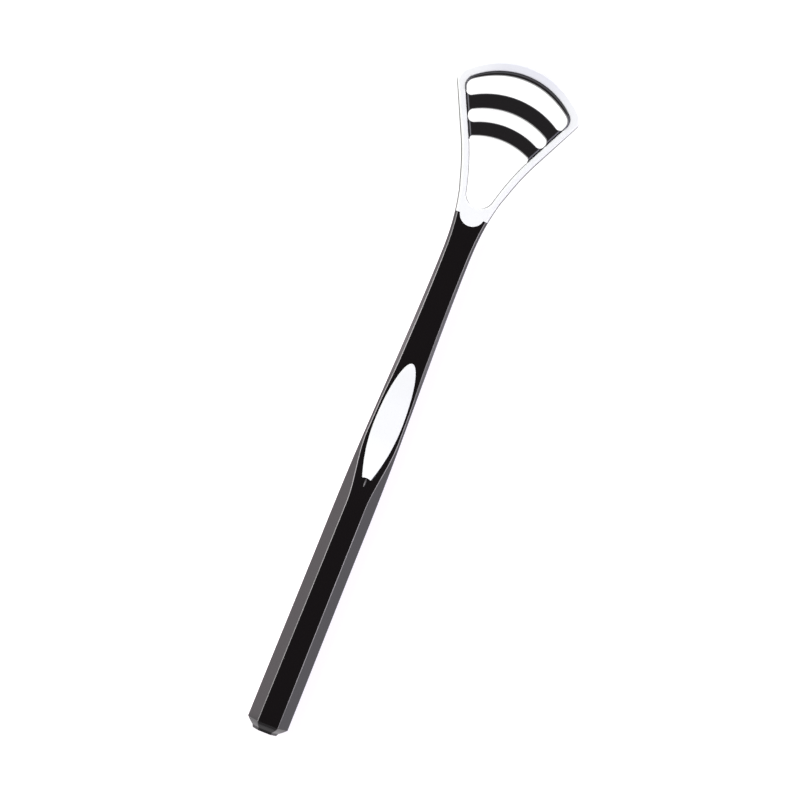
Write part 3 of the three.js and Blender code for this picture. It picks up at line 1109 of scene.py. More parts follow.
@dataclass
class ThumbInlay:
    """White lens let into the thumb scoop."""

    form: ScraperForm
    width: float = 7.68
    upper: float = 18.05
    lower: float = 15.6
    cut_width: float = 2.52
    cut_hollow: float = 0.26
    thickness: float = 1.3
    setback: float = 1.3
    crown: float = 0.15
    rim_radius: float = 0.12
    rim_share: float = 0.4
    tip_angle: float = 0.03
    close_from: float = 0.5
    body_lines: int = 60
    tip_lines: int = 16
    hollow_facets: int = 128

    @property
    def y_widest(self) -> float:
        """Widest place of the lens."""
        return self.form.y_floor + self.form.scoop_floor / 2 - self.setback

    def edge(self, angle: float, grow: float) -> tuple[float, float]:
        """Edge of the lens: a half ellipse towards the head, a parabola towards the butt.

        Args:
            angle: Angle from the tip nearest the head, in radians.
            grow: Amount that the outline is widened by.

        Returns:
            Half width and place along the scraper.
        """
        wide = self.width / 2
        share = math.cos(angle)
        if share >= 0:
            return wide * math.sin(angle) + grow, self.y_widest + (self.upper + grow) * share
        narrowing = (wide - self.cut_width / 2) * share**2
        return wide - narrowing + grow, self.y_widest + (self.lower + grow) * share

    def angles(self) -> list[float]:
        """Angles of the lens's cross-lines, closer together at the round tip."""
        body = steps(math.pi, self.close_from, self.body_lines)
        return joined([body, steps(self.close_from, self.tip_angle, self.tip_lines)])

    def hollow(self, grow: float) -> bpy.types.Object:
        """Tool that hollows the cut end of the lens.

        Args:
            grow: Amount that the tool is enlarged by.

        Returns:
            An upright cylinder.
        """
        half = self.cut_width / 2
        radius = (half**2 + self.cut_hollow**2) / (2 * self.cut_hollow)
        centre = Vector((0, self.y_widest - self.lower + self.cut_hollow - radius))
        circle = arc_points(centre, radius + grow, 0, 2 * math.pi, self.hollow_facets)[:-1]
        return Shell.prism(self.form, circle, "inlay_hollow")

    def pocket(self) -> bpy.types.Object:
        """Tool that cuts the lens's seat into the handle.

        Returns:
            A closed object, a seam wider than the lens.
        """
        rings = []
        for angle in self.angles():
            x, y = self.edge(angle, self.form.seam)
            low = self.form.front(y) - self.thickness - self.form.seam
            high = self.form.front(y) + self.form.grip_depth
            rings.append([Vector((u, y, z)) for u, z in ((x, low), (-x, low), (-x, high), (x, high))])
        tool = Shell(self.form).loft(rings, cap=CapStyle.PLAIN).object("inlay_pocket")
        Workshop.carve(tool, [self.hollow(0.0)])
        return tool

    def lens(self) -> Shell:
        """Crowned lens with a rounded rim.

        Returns:
            The lens before its cut end is hollowed.
        """
        rings = []
        for angle in self.angles():
            x, y = self.edge(angle, 0.0)
            top = self.form.front(y)
            corners = [(x, top - self.thickness), (-x, top - self.thickness), (-x, top), (x, top)]
            radius = min(self.rim_radius, self.rim_share * x)
            outline = rounded([Corner(u, z, radius) for u, z in corners])
            ring = []
            for p in outline:
                upper = p.y > top - self.thickness / 2
                bulge = self.crown * max(0.0, 1 - (p.x / x) ** 2) if upper else 0.0
                ring.append(Vector((p.x, y, p.y + bulge)))
            rings.append(ring)
        return Shell(self.form).loft(rings)

    def build(self) -> bpy.types.Object:
        """Builds and dresses the inlay.

        Returns:
            The finished piece.
        """
        piece = self.lens().object("thumb_inlay_lens")
        Workshop.carve(piece, [self.hollow(self.form.seam)])
        COOL_WHITE.dress(piece, "thumb_inlay")
        return piece


@dataclass
class Nub:
    """Slender bump on the handle below the cut end of the inlay."""

    form: ScraperForm
    y_cut: float
    width: float = 0.7
    length: float = 2.7
    height: float = 0.3
    sunk: float = 0.2
    overlap: float = 0.25
    pole: float = 0.04
    sections: int = 28
    facets: int = 32
    skin: float = 0.01
    # Strength and narrowness of the glint painted along the crest.
    glint_strength: float = 1.0
    crest_power: float = 6.0

    @property
    def centre(self) -> Vector:
        """Middle of the bump, below the handle's front face."""
        y = self.y_cut + self.overlap - self.length / 2
        return Vector((0, y, self.form.front(y) - self.sunk))

    @property
    def size(self) -> Vector:
        """Half axes of the bump."""
        return Vector((self.width / 2, self.length / 2, self.height + self.sunk))

    @property
    def lean(self) -> Matrix:
        """Turn that lays the bump along the falling front face."""
        y = self.centre.y
        fall = (self.form.front(y + 1) - self.form.front(y - 1)) / 2
        return Matrix.Rotation(math.atan(fall), 3, "X")

    def shell(self) -> Shell:
        """Skin of the bump.

        Returns:
            A closed ball, drawn out to the bump's size.
        """
        around = steps(0, 2 * math.pi, self.facets)[:-1]
        rings = []
        for angle in steps(self.pole, math.pi - self.pole, self.sections):
            across, along = math.sin(angle), -math.cos(angle)
            ball = [Vector((across * math.cos(a), along, across * math.sin(a))) for a in around]
            rings.append([self.lean @ (p * self.size) + self.centre for p in ball])
        return Shell(self.form).loft(rings, cap=CapStyle.PLAIN)

    def paint_glint(self, piece: bpy.types.Object) -> None:
        """Paints a glint on the crest of the bump, brightest at the end towards the butt.

        Args:
            piece: The handle that the bump was united with.
        """
        wear = piece.data.attributes[Shell.HIGHLIGHT].data
        level = self.lean.inverted()
        for vertex in piece.data.vertices:
            point = self.form.measured(vertex.co)
            off = level @ (point - self.centre)
            ball = Vector([part / half for part, half in zip(off, self.size)])
            if abs(ball.length - 1) > self.skin or point.z < self.form.front(point.y) + self.skin:
                continue
            across = math.hypot(ball.x, ball.z)
            crest = (ball.z / across) ** self.crest_power
            wear[vertex.index].value = self.glint_strength * across * (1 - ball.y) / 2 * crest


@dataclass
class Handle:
    """Six-sided handle with its chamfered butt, thumb scoop, neck and horns."""

    form: ScraperForm
    inlay: ThumbInlay
    nub: Nub
    end_width: float = 6.9
    land_width: float = 7.66
    end_radius: float = 0.16
    chamfer_bulge: float = 0.13
    chamfer_round: float = 20.0
    # Share of the section's size over which the painted edge highlight fades out on the butt's chamfer.
    highlight_fade: float = 0.04
    saddle_radius: float = 3.5
    saddle_depth: float = 2.7
    saddle_facets: int = 96
    sections: tuple[int, ...] = (30, 50, 15, 35, 42, 30)

    def stations(self) -> list[tuple[float, float]]:
        """Places of the sections.

        Returns:
            The places from the butt to the horns, each with its size against the full section.
        """
        form = self.form
        full = form.butt_land + form.butt_chamfer
        start = full + 2 * self.end_radius
        end = self.end_width / 2
        land = self.land_width / 2
        whole = form.grip_width / 2
        bulge = (land + whole) / 2 + self.chamfer_bulge
        profile = rounded(
            [
                Corner(0, end - 2 * self.end_radius, 0),
                Corner(0, end, self.end_radius),
                Corner(form.butt_land, land, self.end_radius),
                Corner((form.butt_land + full) / 2, bulge, self.chamfer_round),
                Corner(full, whole, self.end_radius),
                Corner(start, whole, 0),
            ],
            closed=False,
        )
        butt = [(p.x, p.y / whole) for p in profile]
        ends = [start, form.y_scoop, form.y_floor, form.y_rise, form.y_crest, form.y_waist, form.y_horns]
        places = joined([steps(*stretch) for stretch in zip(ends, ends[1:], self.sections)])
        return butt + [(y, 1.0) for y in places[1:]]

    def saddle(self) -> bpy.types.Object:
        """Tool that cuts the round seat between the horns.

        Returns:
            An upright cylinder, a seam wider than the head's root.
        """
        centre = Vector((0, self.form.y_horns - self.saddle_depth + self.saddle_radius))
        radius = self.saddle_radius + self.form.seam
        circle = arc_points(centre, radius, 0, 2 * math.pi, self.saddle_facets)[:-1]
        return Shell.prism(self.form, circle, "saddle_cut")

    def build(self) -> bpy.types.Object:
        """Builds and dresses the handle.

        Returns:
            The finished piece.
        """
        places = self.stations()
        rings = [self.form.section(y, share) for y, share in places]
        # Painted highlight on the front edges, faded out on the butt's chamfer.
        wear = []
        for y, share in places:
            kept = max(0.0, 1 - (1 - share) / self.highlight_fade)
            wear.append([kept * value for value in painted(self.form.corners(y, share))])
        piece = Shell(self.form).loft(rings, wear=wear).object("handle_moulding")
        Workshop.carve(piece, [self.inlay.pocket(), self.saddle()])
        Workshop.unite(piece, [self.nub.shell().object("nub_bump")])
        # Paints a glint on the nub's crest.
        self.nub.paint_glint(piece)
        GLOSS_BLACK.dress(piece, "handle")
        return piece


@dataclass
class FanOutline:
    """Half outline of the fan: from the bottom of the opening up the right side to the tip."""

    form: ScraperForm
    inset: float
    crown_radius: float
    crown_top: float
    corner_radius: float
    fan_angle: float = math.radians(26)
    rail_width: float = 2.1
    root_radius: float = 4.0
    arc_facets: int = 26
    rail_facets: int = 18
    corner_facets: int = 16
    crown_facets: int = 44

    def stretches(self) -> dict[str, Ring]:
        """Points of the outline's arcs and straights.

        Returns:
            The stretches root, flare, rail, corner and crown.
        """
        form = self.form
        flare = form.flare_radius + self.inset
        flare_x = form.waist_width / 2 + form.flare_radius
        root = self.root_radius + self.rail_width - self.inset
        root_y = form.y_waist + math.sqrt((flare + root) ** 2 - flare_x**2)
        touch = math.atan2(root_y - form.y_waist, flare_x)
        crown = Vector((0, self.crown_top - self.crown_radius))
        along = Vector((math.sin(self.fan_angle), math.cos(self.fan_angle)))
        inward = Vector((-along.y, along.x))
        hub = Vector((flare_x, form.y_waist))
        start = hub + flare * Vector((-math.cos(self.fan_angle), math.sin(self.fan_angle)))
        offset = start + inward * self.corner_radius
        away = offset - crown
        half = away.dot(along)
        clear = self.crown_radius - self.corner_radius
        reach = math.sqrt(half**2 - away.length_squared + clear**2) - half
        corner = offset + along * reach
        turn = math.atan2(corner.y - crown.y, corner.x)
        lean = self.fan_angle
        return {
            "root": arc_points(Vector((0, root_y)), root, -math.pi / 2, -touch, self.arc_facets),
            "flare": arc_points(hub, flare, math.pi - touch, math.pi - lean, self.arc_facets),
            "rail": [start.lerp(start + along * reach, t) for t in steps(0, 1, self.rail_facets)],
            "corner": arc_points(corner, self.corner_radius, -lean, turn, self.corner_facets),
            "crown": arc_points(crown, self.crown_radius, turn, math.pi / 2, self.crown_facets),
        }

    def points(self) -> Ring:
        """All the points of the half outline."""
        return joined(list(self.stretches().values()))


def mirrored(ring: Ring) -> Ring:
    """Ring reflected across the middle line."""
    return [Vector((-p.x, *p[1:])) for p in ring]


@dataclass
class HeadFrame:
    """White fan-shaped frame with the root that sits between the horns."""

    form: ScraperForm
    handle: Handle
    crown_radius: float = 23.1
    crown_corner: float = 3.2
    rim_width: float = 2.78
    opening_crown_radius: float = 21.3
    opening_corner: float = 3.1
    rail_width: float = 2.0
    inner_radius: float = 0.25
    ridge_radius: float = 0.4
    swell: float = 0.16
    swell_run_in: float = 4.0
    swell_until: float = 8.0
    swell_gone: float = 3.0
    draft: float = 0.5
    draft_share: float = 0.45
    draft_length: float = 18.6
    draft_run_out: float = 1.0
    least_draft: float = 0.015
    flush: float = 0.002
    root_tail: float = 0.5
    root_sections: int = 60
    bowl_facets: int = 48

    @property
    def opening_top(self) -> float:
        """Place of the opening's upper edge on the middle line."""
        return self.form.y_tip - self.rim_width

    def outline(self, inset: float) -> FanOutline:
        """Outline between the outer edge and the opening.

        Args:
            inset: Distance from the outer edge; past half the rail the opening's top is used.

        Returns:
            The half outline.
        """
        form = self.form
        if inset < self.rail_width / 2:
            return FanOutline(form, inset, self.crown_radius, form.y_tip, self.crown_corner)
        return FanOutline(form, inset, self.opening_crown_radius, self.opening_top, self.opening_corner)

    def opening(self) -> FanOutline:
        """Outline of the opening."""
        return self.outline(self.rail_width)

    def ring(self) -> Shell:
        """Frame section carried round the opening, drafted on the inside below the strips.

        Returns:
            A closed ring.
        """
        form = self.form
        slope = math.tan(form.facet_slope)
        stop = form.y_horns + self.draft_length
        draft = straight([(stop, self.draft), (stop + self.draft_run_out, self.least_draft)])
        root_end = self.outline(0.0).stretches()["root"][-1].y
        swell = eased(
            [
                (root_end, 0),
                (root_end + self.swell_run_in, self.swell),
                (form.y_tip - self.swell_until, self.swell),
                (form.y_tip - self.swell_gone, 0),
            ]
        )
        rings = []
        for near, far in zip(self.opening().points(), self.outline(0.0).points()):
            across = far - near
            width = across.length + swell(far.y)
            ridge = self.draft_share * draft(near.y)
            lip = draft(near.y) - ridge
            corners = [
                Corner(lip, -form.head_back, self.inner_radius),
                Corner(-ridge, 0, self.ridge_radius),
                Corner(lip, form.head_front, self.inner_radius),
                Corner(width - form.head_front / slope, form.head_front, form.edge_radius),
                Corner(width, 0, form.edge_radius),
                Corner(width - form.head_back / slope, -form.head_back, form.edge_radius),
            ]
            rings.append(form.head_section(near, across.normalized(), corners))
        other = [mirrored(ring) for ring in reversed(rings[1:-1])]
        return Shell(form).loft(rings + other, loop=True)

    def root(self) -> bpy.types.Object:
        """Root below the opening, cut to the saddle between the horns.

        Returns:
            A closed object that reaches into the ring.
        """
        form = self.form
        radius = self.handle.saddle_radius
        ledge = form.y_horns + form.seam
        top = self.opening().stretches()["root"][-1].y
        low = form.y_horns - self.handle.saddle_depth
        places = steps(low - self.root_tail, top, self.root_sections)
        body = Shell(form).loft([form.section(y, shrink=self.flush) for y in places]).object("head_root")
        centre = Vector((0, low + radius))
        reach = math.acos((centre.y - ledge) / radius)
        bowl = arc_points(centre, radius, reach - math.pi / 2, -reach - math.pi / 2, self.bowl_facets)
        wide = form.grip_width
        below = low - wide
        right = [Vector((wide, y)) for y in (below, ledge)]
        zone = [right[1], *bowl, *mirrored(right)[::-1], right[0]]
        middle = self.outline(self.rail_width / 2).points()
        hole = middle[1:-1] + mirrored(middle[1:-1])[::-1]
        plans = {"horn_zone": zone, "root_hole": hole}
        Workshop.carve(body, [Shell.prism(form, plan, name) for name, plan in plans.items()])
        return body

    def build(self) -> bpy.types.Object:
        """Builds and dresses the head.

        Returns:
            The finished piece.
        """
        piece = self.ring().object("head_frame_moulding")
        Workshop.unite(piece, [self.root()])
        COOL_WHITE.dress(piece, "head_frame")
        return piece


@dataclass
class Rails:
    """Inside of the opening, where the strips are held.

    Places are measured along and away from the right rail.
    """

    frame: HeadFrame
    liner_width: float = 0.22
    liner_front: float = 0.6
    liner_back: float = 0.6
    liner_seat: float = 0.1
    back_round: float = 0.1
    front_round: float = 0.12
    seat_round: float = 0.05
    leg_facets: int = 10
    liner_facets: int = 8
    parts: dict[str, Ring] = field(init=False)
    foot: Vector = field(init=False)
    along: Vector = field(init=False)
    inward: Vector = field(init=False)

    def __post_init__(self) -> None:
        """Finds the right rail."""
        self.parts = self.frame.opening().stretches()
        self.foot = self.parts["rail"][0]
        self.along = (self.parts["rail"][-1] - self.foot).normalized()
        self.inward = Vector((-self.along.y, self.along.x))

    def point(self, along: float, away: float) -> Vector:
        """Point at a distance along and away from the right rail."""
        return self.foot + self.along * along + self.inward * away

    def path(self, start: float) -> RailPath:
        """Way round the top of the opening, from a place on the right rail to the same on the left.

        Args:
            start: Distance along the rails where the way starts and ends.

        Returns:
            Points in plan, each with the outward direction there.
        """
        length = (self.parts["rail"][-1] - self.foot).length
        rail = [self.point(s, 0) for s in steps(start, length, self.leg_facets)]
        half = joined([rail, self.parts["corner"], self.parts["crown"]])
        return self.with_outward(half + mirrored(half[:-1])[::-1])

    def stretch(self, start: float, stop: float, side: Side) -> RailPath:
        """Stretch of one rail.

        Args:
            start: Distance along the rail where it starts.
            stop: Distance along the rail where it stops.
            side: Which of the two rails.

        Returns:
            Points in plan, each with the outward direction there.
        """
        points = [self.point(s, 0) for s in steps(start, stop, self.liner_facets)]
        return self.with_outward(points if side is Side.RIGHT else mirrored(points)[::-1])

    @staticmethod
    def with_outward(points: Ring) -> RailPath:
        """Pairs points with the direction out of the opening.

        Args:
            points: Points in plan, counter-clockwise round the opening.

        Returns:
            The points, each with its outward direction.
        """
        pairs = []
        for i, at in enumerate(points):
            way = (points[min(i + 1, len(points) - 1)] - points[max(i - 1, 0)]).normalized()
            pairs.append((at, Vector((way.y, -way.x))))
        return pairs

    def sweep(self, path: RailPath, sections: Sequence[Sequence[Corner]]) -> Shell:
        """Carries sections along a path.

        Args:
            path: Points in plan with their outward directions.
            sections: One section for each point: distance outwards and height above the head's middle plane.

        Returns:
            A closed shell.
        """
        form = self.frame.form
        rings = [form.head_section(*place, corners) for place, corners in zip(path, sections)]
        # Painted highlight taken from the sections' corners.
        return Shell(form).loft(rings, wear=[painted(corners) for corners in sections])

    def liner(self, start: float, stop: float, side: Side) -> bpy.types.Object:
        """Thin strip along a rail between two bars.

        Args:
            start: Distance along the rail where it starts.
            stop: Distance along the rail where it stops.
            side: Which of the two rails.

        Returns:
            A closed object that reaches into both bars.
        """
        path = self.stretch(start, stop, side)
        corners = [
            Corner(-self.liner_width, -self.liner_back, self.back_round),
            Corner(-self.liner_width, self.liner_front, self.front_round),
            Corner(self.liner_seat, self.liner_front, self.seat_round),
            Corner(self.liner_seat, -self.liner_back, self.seat_round),
        ]
        return self.sweep(path, [corners] * len(path)).object("rail_liner")


@dataclass(frozen=True)
class BarEdge:
    """Edge of a bar: an arc that runs into the right rail with a fillet."""

    rails: Rails
    top: float
    radius: float
    fillet: float
    turn: int

    @property
    def centre(self) -> Vector:
        """Centre of the arc."""
        return Vector((0, self.top - self.radius))

    @property
    def foot(self) -> float:
        """Distance along the rail at which the fillet leaves the liner."""
        return self.crossing(self.rails.liner_width + self.fillet, self.radius + self.turn * self.fillet)

    def crossing(self, away: float, radius: float) -> float:
        """Distance along the rail at which a line beside the rail meets a circle.

        Args:
            away: Distance of the line from the rail.
            radius: Radius of the circle about the arc's centre.

        Returns:
            Distance along the rail.
        """
        offset = self.rails.point(0, away) - self.centre
        half = offset.dot(self.rails.along)
        return math.sqrt(half**2 - offset.length_squared + radius**2) - half

    def beside(self, away: float) -> Vector:
        """Point of the edge beside the rail.

        Args:
            away: Distance from the rail.

        Returns:
            Point in plan, on the arc or on its fillet.
        """
        liner = self.rails.liner_width
        hub = self.rails.point(self.foot, liner + self.fillet)
        touch = hub + self.turn * self.fillet * (self.centre - hub).normalized()
        if away >= (touch - self.rails.foot).dot(self.rails.inward):
            return self.rails.point(self.crossing(away, self.radius), away)
        inside = self.fillet - max(0.0, away - liner)
        rise = math.sqrt(max(0.0, self.fillet**2 - inside**2))
        return self.rails.point(self.foot - self.turn * rise, away)

    def across(self, x: float) -> Vector:
        """Point of the arc at a distance from the middle line."""
        return Vector((x, self.centre.y + math.sqrt(self.radius**2 - x**2)))


@dataclass
class ScraperBar:
    """Black curved bar across the opening, stepped down to the frame at both ends."""

    name: str
    node: str
    rails: Rails
    drop: float
    width: float
    upper_radius: float
    lower_radius: float
    upper_fillet: float = 1.3
    lower_fillet: float = 1.3
    rise: float = 0.5
    back_gap: float = 0.4
    end_land: float = 0.36
    end_slope: float = 0.34
    end_zone: float = 3.0
    upper_round: float = 0.3
    lower_round: float = 0.2
    step_round: float = 0.12
    back_round: float = 0.1
    bend_width: float = 1.5
    bend_angle: float = 1.5
    bend_lines: int = 28
    middle_lines: int = 44
    # Painted highlight on the upper edge and halfway up each end step.
    upper_highlight: float = 0.25
    step_highlight: float = 1.0

    def upper(self) -> BarEdge:
        """Edge nearer the tip."""
        top = self.rails.frame.opening_top - self.drop
        return BarEdge(self.rails, top, self.upper_radius, self.upper_fillet, 1)

    def lower(self) -> BarEdge:
        """Edge nearer the handle."""
        top = self.rails.frame.opening_top - self.drop - self.width
        return BarEdge(self.rails, top, self.lower_radius, self.lower_fillet, -1)

    def lines(self) -> list[tuple[Vector, Vector, float]]:
        """Lines across the bar: upper end, lower end and height of the front face.

        Returns:
            The lines from the right rail to the left one, beside the rails parallel to them.
        """
        form = self.rails.frame.form
        low, high = form.head_front, form.head_front + self.rise
        profile = rounded(
            [
                Corner(form.seam, low, 0),
                Corner(self.end_land, low, self.step_round),
                Corner(self.end_land + self.end_slope, high, self.step_round),
                Corner(self.end_zone, high, 0),
            ],
            closed=False,
        )
        level = straight([(p.x, p.y) for p in profile])
        liner = self.rails.liner_width
        bends = [
            liner + self.bend_width * (1 - math.cos(angle))
            for angle in steps(0, self.bend_angle, self.bend_lines)
        ]
        places = sorted({p.x for p in profile} | set(bends))
        upper, lower = self.upper(), self.lower()
        right = [(upper.beside(d), lower.beside(d), level(d)) for d in places]
        above, below, _ = right[-1]
        shares = steps(1, -1, self.middle_lines)[1:-1]
        middle = [(upper.across(above.x * t), lower.across(below.x * t), high) for t in shares]
        left = [(*mirrored([above, below]), front) for above, below, front in reversed(right)]
        return right + middle + left

    def shell(self) -> Shell:
        """Bar with rounded edges and stepped ends, with a painted highlight on its upper edge and halfway up
        each step.

        Returns:
            A closed shell.
        """
        form = self.rails.frame.form
        back = self.back_gap - form.head_back
        rings, wear = [], []
        for above, below, front in self.lines():
            down = below - above
            corners = [
                Corner(0, back, self.back_round),
                Corner(0, front, self.upper_round, self.upper_highlight),
                Corner(down.length, front, self.lower_round),
                Corner(down.length, back, self.back_round),
            ]
            rings.append(form.head_section(above, down.normalized(), corners))
            raised = (front - form.head_front) / self.rise
            step = self.step_highlight * 4 * raised * (1 - raised)
            wear.append([max(value, step) for value in painted(corners)])
        return Shell(form).loft(rings, wear=wear)

    def build(self, liner_from: float | None = None) -> bpy.types.Object:
        """Builds and dresses the bar.

        Args:
            liner_from: Distance along the rails where its narrow strips start, or None for none.

        Returns:
            The finished piece.
        """
        piece = self.shell().object(self.name)
        if liner_from is not None:
            liner_to = self.lower().foot + self.lower_fillet / 2
            Workshop.unite(piece, [self.rails.liner(liner_from, liner_to, side) for side in Side])
        SATIN_RUBBER.dress(piece, self.node)
        return piece


@dataclass
class ScraperLip:
    """Black crescent round the top of the opening, with its outer half sloped down to the frame."""

    rails: Rails
    start: float
    thickness: Stations = (
        (0.0, 0.30),
        (1.6, 0.38),
        (4.4, 0.75),
        (7.2, 0.97),
        (9.5, 1.10),
        (12.0, 1.19),
        (19.0, 1.26),
    )
    # Painted highlight on the lip's legs and on its outer slope.
    leg_highlight: Stations = ((0.0, 0.9), (2.0, 0.8), (5.5, 0.0))
    slope_highlight: float = 0.085
    rise: float = 0.5
    back_gap: float = 0.4
    outer_drop: float = 0.25
    ridge_share: float = 0.52
    edge_round: float = 0.1
    inner_round: float = 0.15
    outer_round: float = 0.05

    def build(self) -> bpy.types.Object:
        """Builds and dresses the lip.

        Returns:
            The finished piece.
        """
        form = self.rails.frame.form
        path = self.rails.path(self.start)
        front = form.head_front + self.rise
        back = self.back_gap - form.head_back
        ways = [0.0]
        for (here, _), (there, _) in zip(path, path[1:]):
            ways.append(ways[-1] + (there - here).length)
        profile, legs = straight(self.thickness), straight(self.leg_highlight)
        sections = []
        for way in ways:
            from_end = min(way, ways[-1] - way)
            thick, leg = profile(from_end), legs(from_end)
            sections.append(
                [
                    Corner(-thick, back, self.edge_round),
                    Corner(-thick, front, self.inner_round, leg, leg),
                    Corner(-self.ridge_share * thick, front, self.edge_round, leg, max(leg, self.slope_highlight)),
                    Corner(-form.seam, form.head_front - self.outer_drop, self.outer_round, leg),
                    Corner(-form.seam, back, self.edge_round),
                ]
            )
        piece = self.rails.sweep(path, sections).object("scraper_lip_strip")
        SATIN_RUBBER.dress(piece, "scraper_lip")
        return piece


def facing(right: Vector, back: Vector, at: Vector) -> Matrix:
    """Pose of a lamp or a camera.

    Args:
        right: Direction of its own x axis.
        back: Direction opposite to the one it points in.
        at: Its place.

    Returns:
        The pose in the shared frame.
    """
    pose = Matrix((right, back.cross(right), back)).transposed().to_4x4()
    pose.translation = at
    return pose


@dataclass(frozen=True)
class SoftBox:
    """Soft studio lamp that points at the middle of the object."""

    name: str
    azimuth: float
    power: float
    colour: Colour
    from_zenith: float = 40.0
    distance: float = 0.9
    width: float = 0.40
    length: float = 0.50

    def place(self) -> bpy.types.Object:
        """Adds the lamp.

        Returns:
            The lamp, with its width across the azimuth's plane and its length along the floor.
        """
        lamp = bpy.data.lights.new(self.name, "AREA")
        lamp.shape = "RECTANGLE"
        lamp.size = self.length
        lamp.size_y = self.width
        lamp.energy = self.power
        lamp.color = self.colour
        made = bpy.data.objects.new(self.name, lamp)
        turn, tilt = math.radians(self.azimuth), math.radians(self.from_zenith)
        aside = math.sin(tilt)
        back = Vector((aside * math.cos(turn), aside * math.sin(turn), math.cos(tilt)))
        along = Vector((-math.sin(turn), math.cos(turn), 0))
        made.matrix_world = facing(along, back, back * self.distance)
        bpy.context.scene.collection.objects.link(made)
        return made


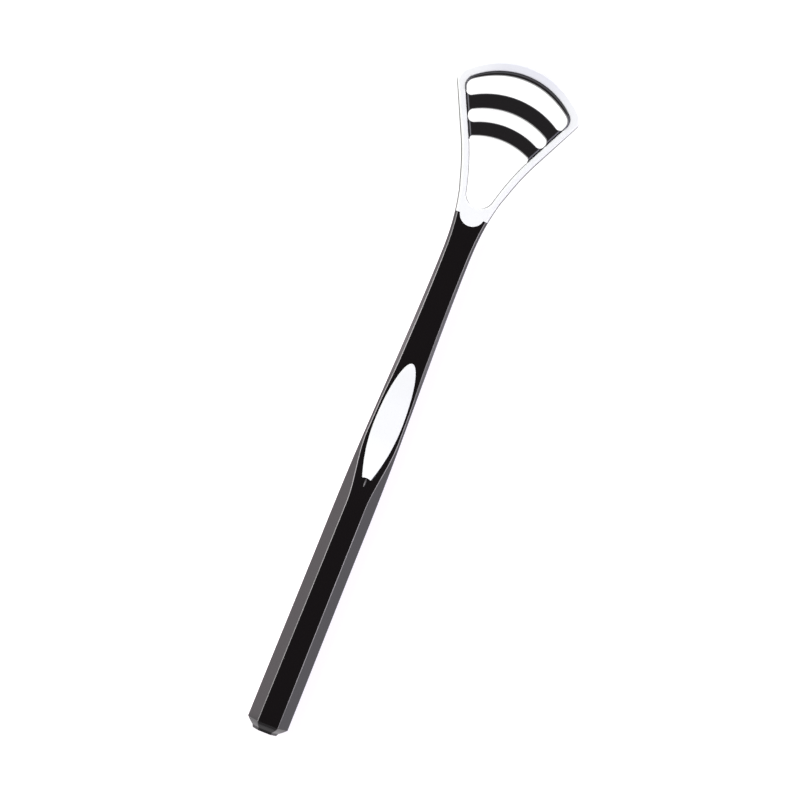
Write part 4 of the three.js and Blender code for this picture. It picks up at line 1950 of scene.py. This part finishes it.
@dataclass
class Studio:
    """Pale glowing floor, soft lamps, pale surroundings and the camera."""

    form: ScraperForm
    floor_size: float = 6.0
    floor_gap: float = 0.00005
    floor_paint: float = 0.30
    floor_roughness: float = 0.7
    floor_left: Colour = (1.48, 1.34, 1.40)
    floor_right: Colour = (0.83, 0.80, 0.89)
    floor_head: Colour = (0.85, 0.85, 0.85)
    floor_butt: Colour = (0.84, 0.81, 0.84)
    floor_blend: float = 0.006
    head_from: float = 0.046
    head_to: float = 0.058
    butt_from: float = -0.0945
    butt_to: float = -0.0975
    near_low: Colour = (0.28, 0.26, 0.30)
    near_side: Colour = (0.92, 0.90, 0.92)
    low_up_to: float = 0.3
    far_side: Colour = (1.6, 1.58, 1.63)
    zenith: Colour = (0.06, 0.04, 0.035)
    pale_up_to: float = 0.5
    dark_from: float = 0.85
    far_from: float = 0.8
    sensor: float = 36.0
    clip_start: float = 0.01
    clip_end: float = 20.0
    distance: float = 1.0
    frame_width: float = 0.2177
    heading: float = 21.925
    lean: float = 2.0
    target: tuple[float, float] = (0.58, 97.5)
    lamps: tuple[SoftBox, ...] = (
        SoftBox(name="left_soft_box", azimuth=180.0, power=3.4, colour=(0.98, 1.0, 0.88)),
        SoftBox(name="right_soft_box", azimuth=0.0, power=2.9, colour=(0.88, 0.82, 1.0)),
    )

    def floor(self) -> bpy.types.Object:
        """Lays the floor just below the object, warm on the left and cool on the right.

        Returns:
            The floor, linked to the scene.
        """
        half = self.floor_size / 2
        corners = [(-half, -half), (half, -half), (half, half), (-half, half)]
        mesh = bpy.data.meshes.new("studio_floor")
        mesh.from_pydata([(x, y, -self.floor_gap) for x, y in corners], [], [(0, 1, 2, 3)])
        floor = bpy.data.objects.new("studio_floor", mesh)
        bpy.context.scene.collection.objects.link(floor)
        paint = bpy.data.materials.new("pale_floor")
        paint.use_nodes = True
        bench = NodeBench(paint.node_tree)
        shader = paint.node_tree.nodes["Principled BSDF"]
        place = bench.add("ShaderNodeTexCoord").outputs["Object"]
        axes = bench.add("ShaderNodeSeparateXYZ", Vector=place)
        side = bench.ramp(axes.outputs["X"], -self.floor_blend, self.floor_blend)
        below = bench.blend(side, self.floor_left, self.floor_right)
        at_head = bench.ramp(axes.outputs["Y"], self.head_from, self.head_to)
        above = bench.blend(at_head, below, self.floor_head)
        at_butt = bench.ramp(axes.outputs["Y"], self.butt_from, self.butt_to)
        glow = bench.blend(at_butt, above, self.floor_butt)
        bench.feed(shader.inputs["Base Color"], (self.floor_paint,) * 3 + (1.0,))
        bench.feed(shader.inputs["Roughness"], self.floor_roughness)
        bench.feed(shader.inputs["Emission Color"], glow)
        bench.feed(shader.inputs["Emission Strength"], 1.0)
        mesh.materials.append(paint)
        return floor

    def surroundings(self) -> None:
        """Makes the surroundings pale at the horizon, brighter beyond the head, and dark overhead."""
        world = bpy.data.worlds.new("studio_surroundings")
        world.use_nodes = True
        world.node_tree.nodes.clear()
        bench = NodeBench(world.node_tree)
        way = bench.add("ShaderNodeTexCoord").outputs["Generated"]
        axes = bench.add("ShaderNodeSeparateXYZ", Vector=way)
        raised = bench.ramp(axes.outputs["Z"], 0.0, self.low_up_to)
        near = bench.blend(raised, self.near_low, self.near_side)
        beyond = bench.ramp(axes.outputs["Y"], -self.far_from, self.far_from)
        pale = bench.blend(beyond, near, self.far_side)
        share = bench.ramp(axes.outputs["Z"], self.pale_up_to, self.dark_from)
        sky = bench.add("ShaderNodeBackground", Color=bench.blend(share, pale, self.zenith))
        out = bench.add("ShaderNodeOutputWorld")
        world.node_tree.links.new(sky.outputs[0], out.inputs[0])
        bpy.context.scene.world = world

    def camera(self) -> bpy.types.Object:
        """Hangs the camera over the object, turned so that the head points up and to the right.

        Returns:
            The camera.
        """
        data = bpy.data.cameras.new("front_camera")
        data.sensor_width = self.sensor
        data.lens = self.sensor * self.distance / self.frame_width
        data.clip_start = self.clip_start
        data.clip_end = self.clip_end
        made = bpy.data.objects.new("front_camera", data)
        lean, heading = math.radians(self.lean), math.radians(self.heading)
        back = Vector((-math.sin(lean), 0, math.cos(lean)))
        head_up = Vector((-math.sin(heading), math.cos(heading), 0))
        right = head_up.cross(back).normalized()
        aim = self.form.placed(Vector((*self.target, 0)))
        made.matrix_world = facing(right, back, aim + back * self.distance)
        bpy.context.scene.collection.objects.link(made)
        bpy.context.scene.camera = made
        return made

    def build(self) -> None:
        """Builds the whole studio."""
        self.floor()
        self.surroundings()
        for lamp in self.lamps:
            lamp.place()
        self.camera()
        bpy.context.scene.view_settings.view_transform = "Standard"


def main() -> None:
    """Builds the pieces in order, then the studio."""
    logging.basicConfig(level=logging.INFO, format="%(message)s")
    LOG.info("CAD nodes: %s", ", ".join(sorted(frame["nodes"])))
    form = ScraperForm()
    inlay = ThumbInlay(form)
    nub = Nub(form, inlay.y_widest - inlay.lower)
    handle = Handle(form, inlay, nub)
    handle.build()
    inlay.build()
    head = HeadFrame(form, handle)
    head.build()
    rails = Rails(head)
    lower = ScraperBar(
        name="lower_bar_strip",
        node="lower_scraper_bar",
        rails=rails,
        drop=14.75,
        width=3.80,
        upper_radius=21.3,
        lower_radius=20.0,
        upper_fillet=1.5,
        lower_fillet=0.9,
    )
    upper = ScraperBar(
        name="upper_bar_strip",
        node="upper_scraper_bar",
        rails=rails,
        drop=6.80,
        width=4.03,
        upper_radius=23.9,
        lower_radius=22.4,
        upper_fillet=1.35,
        lower_fillet=1.65,
    )
    lower.build()
    upper.build(lower.upper().foot - lower.upper_fillet / 2)
    ScraperLip(rails, upper.upper().foot + form.seam).build()
    Studio(form).build()


if __name__ == "__main__":
    main()
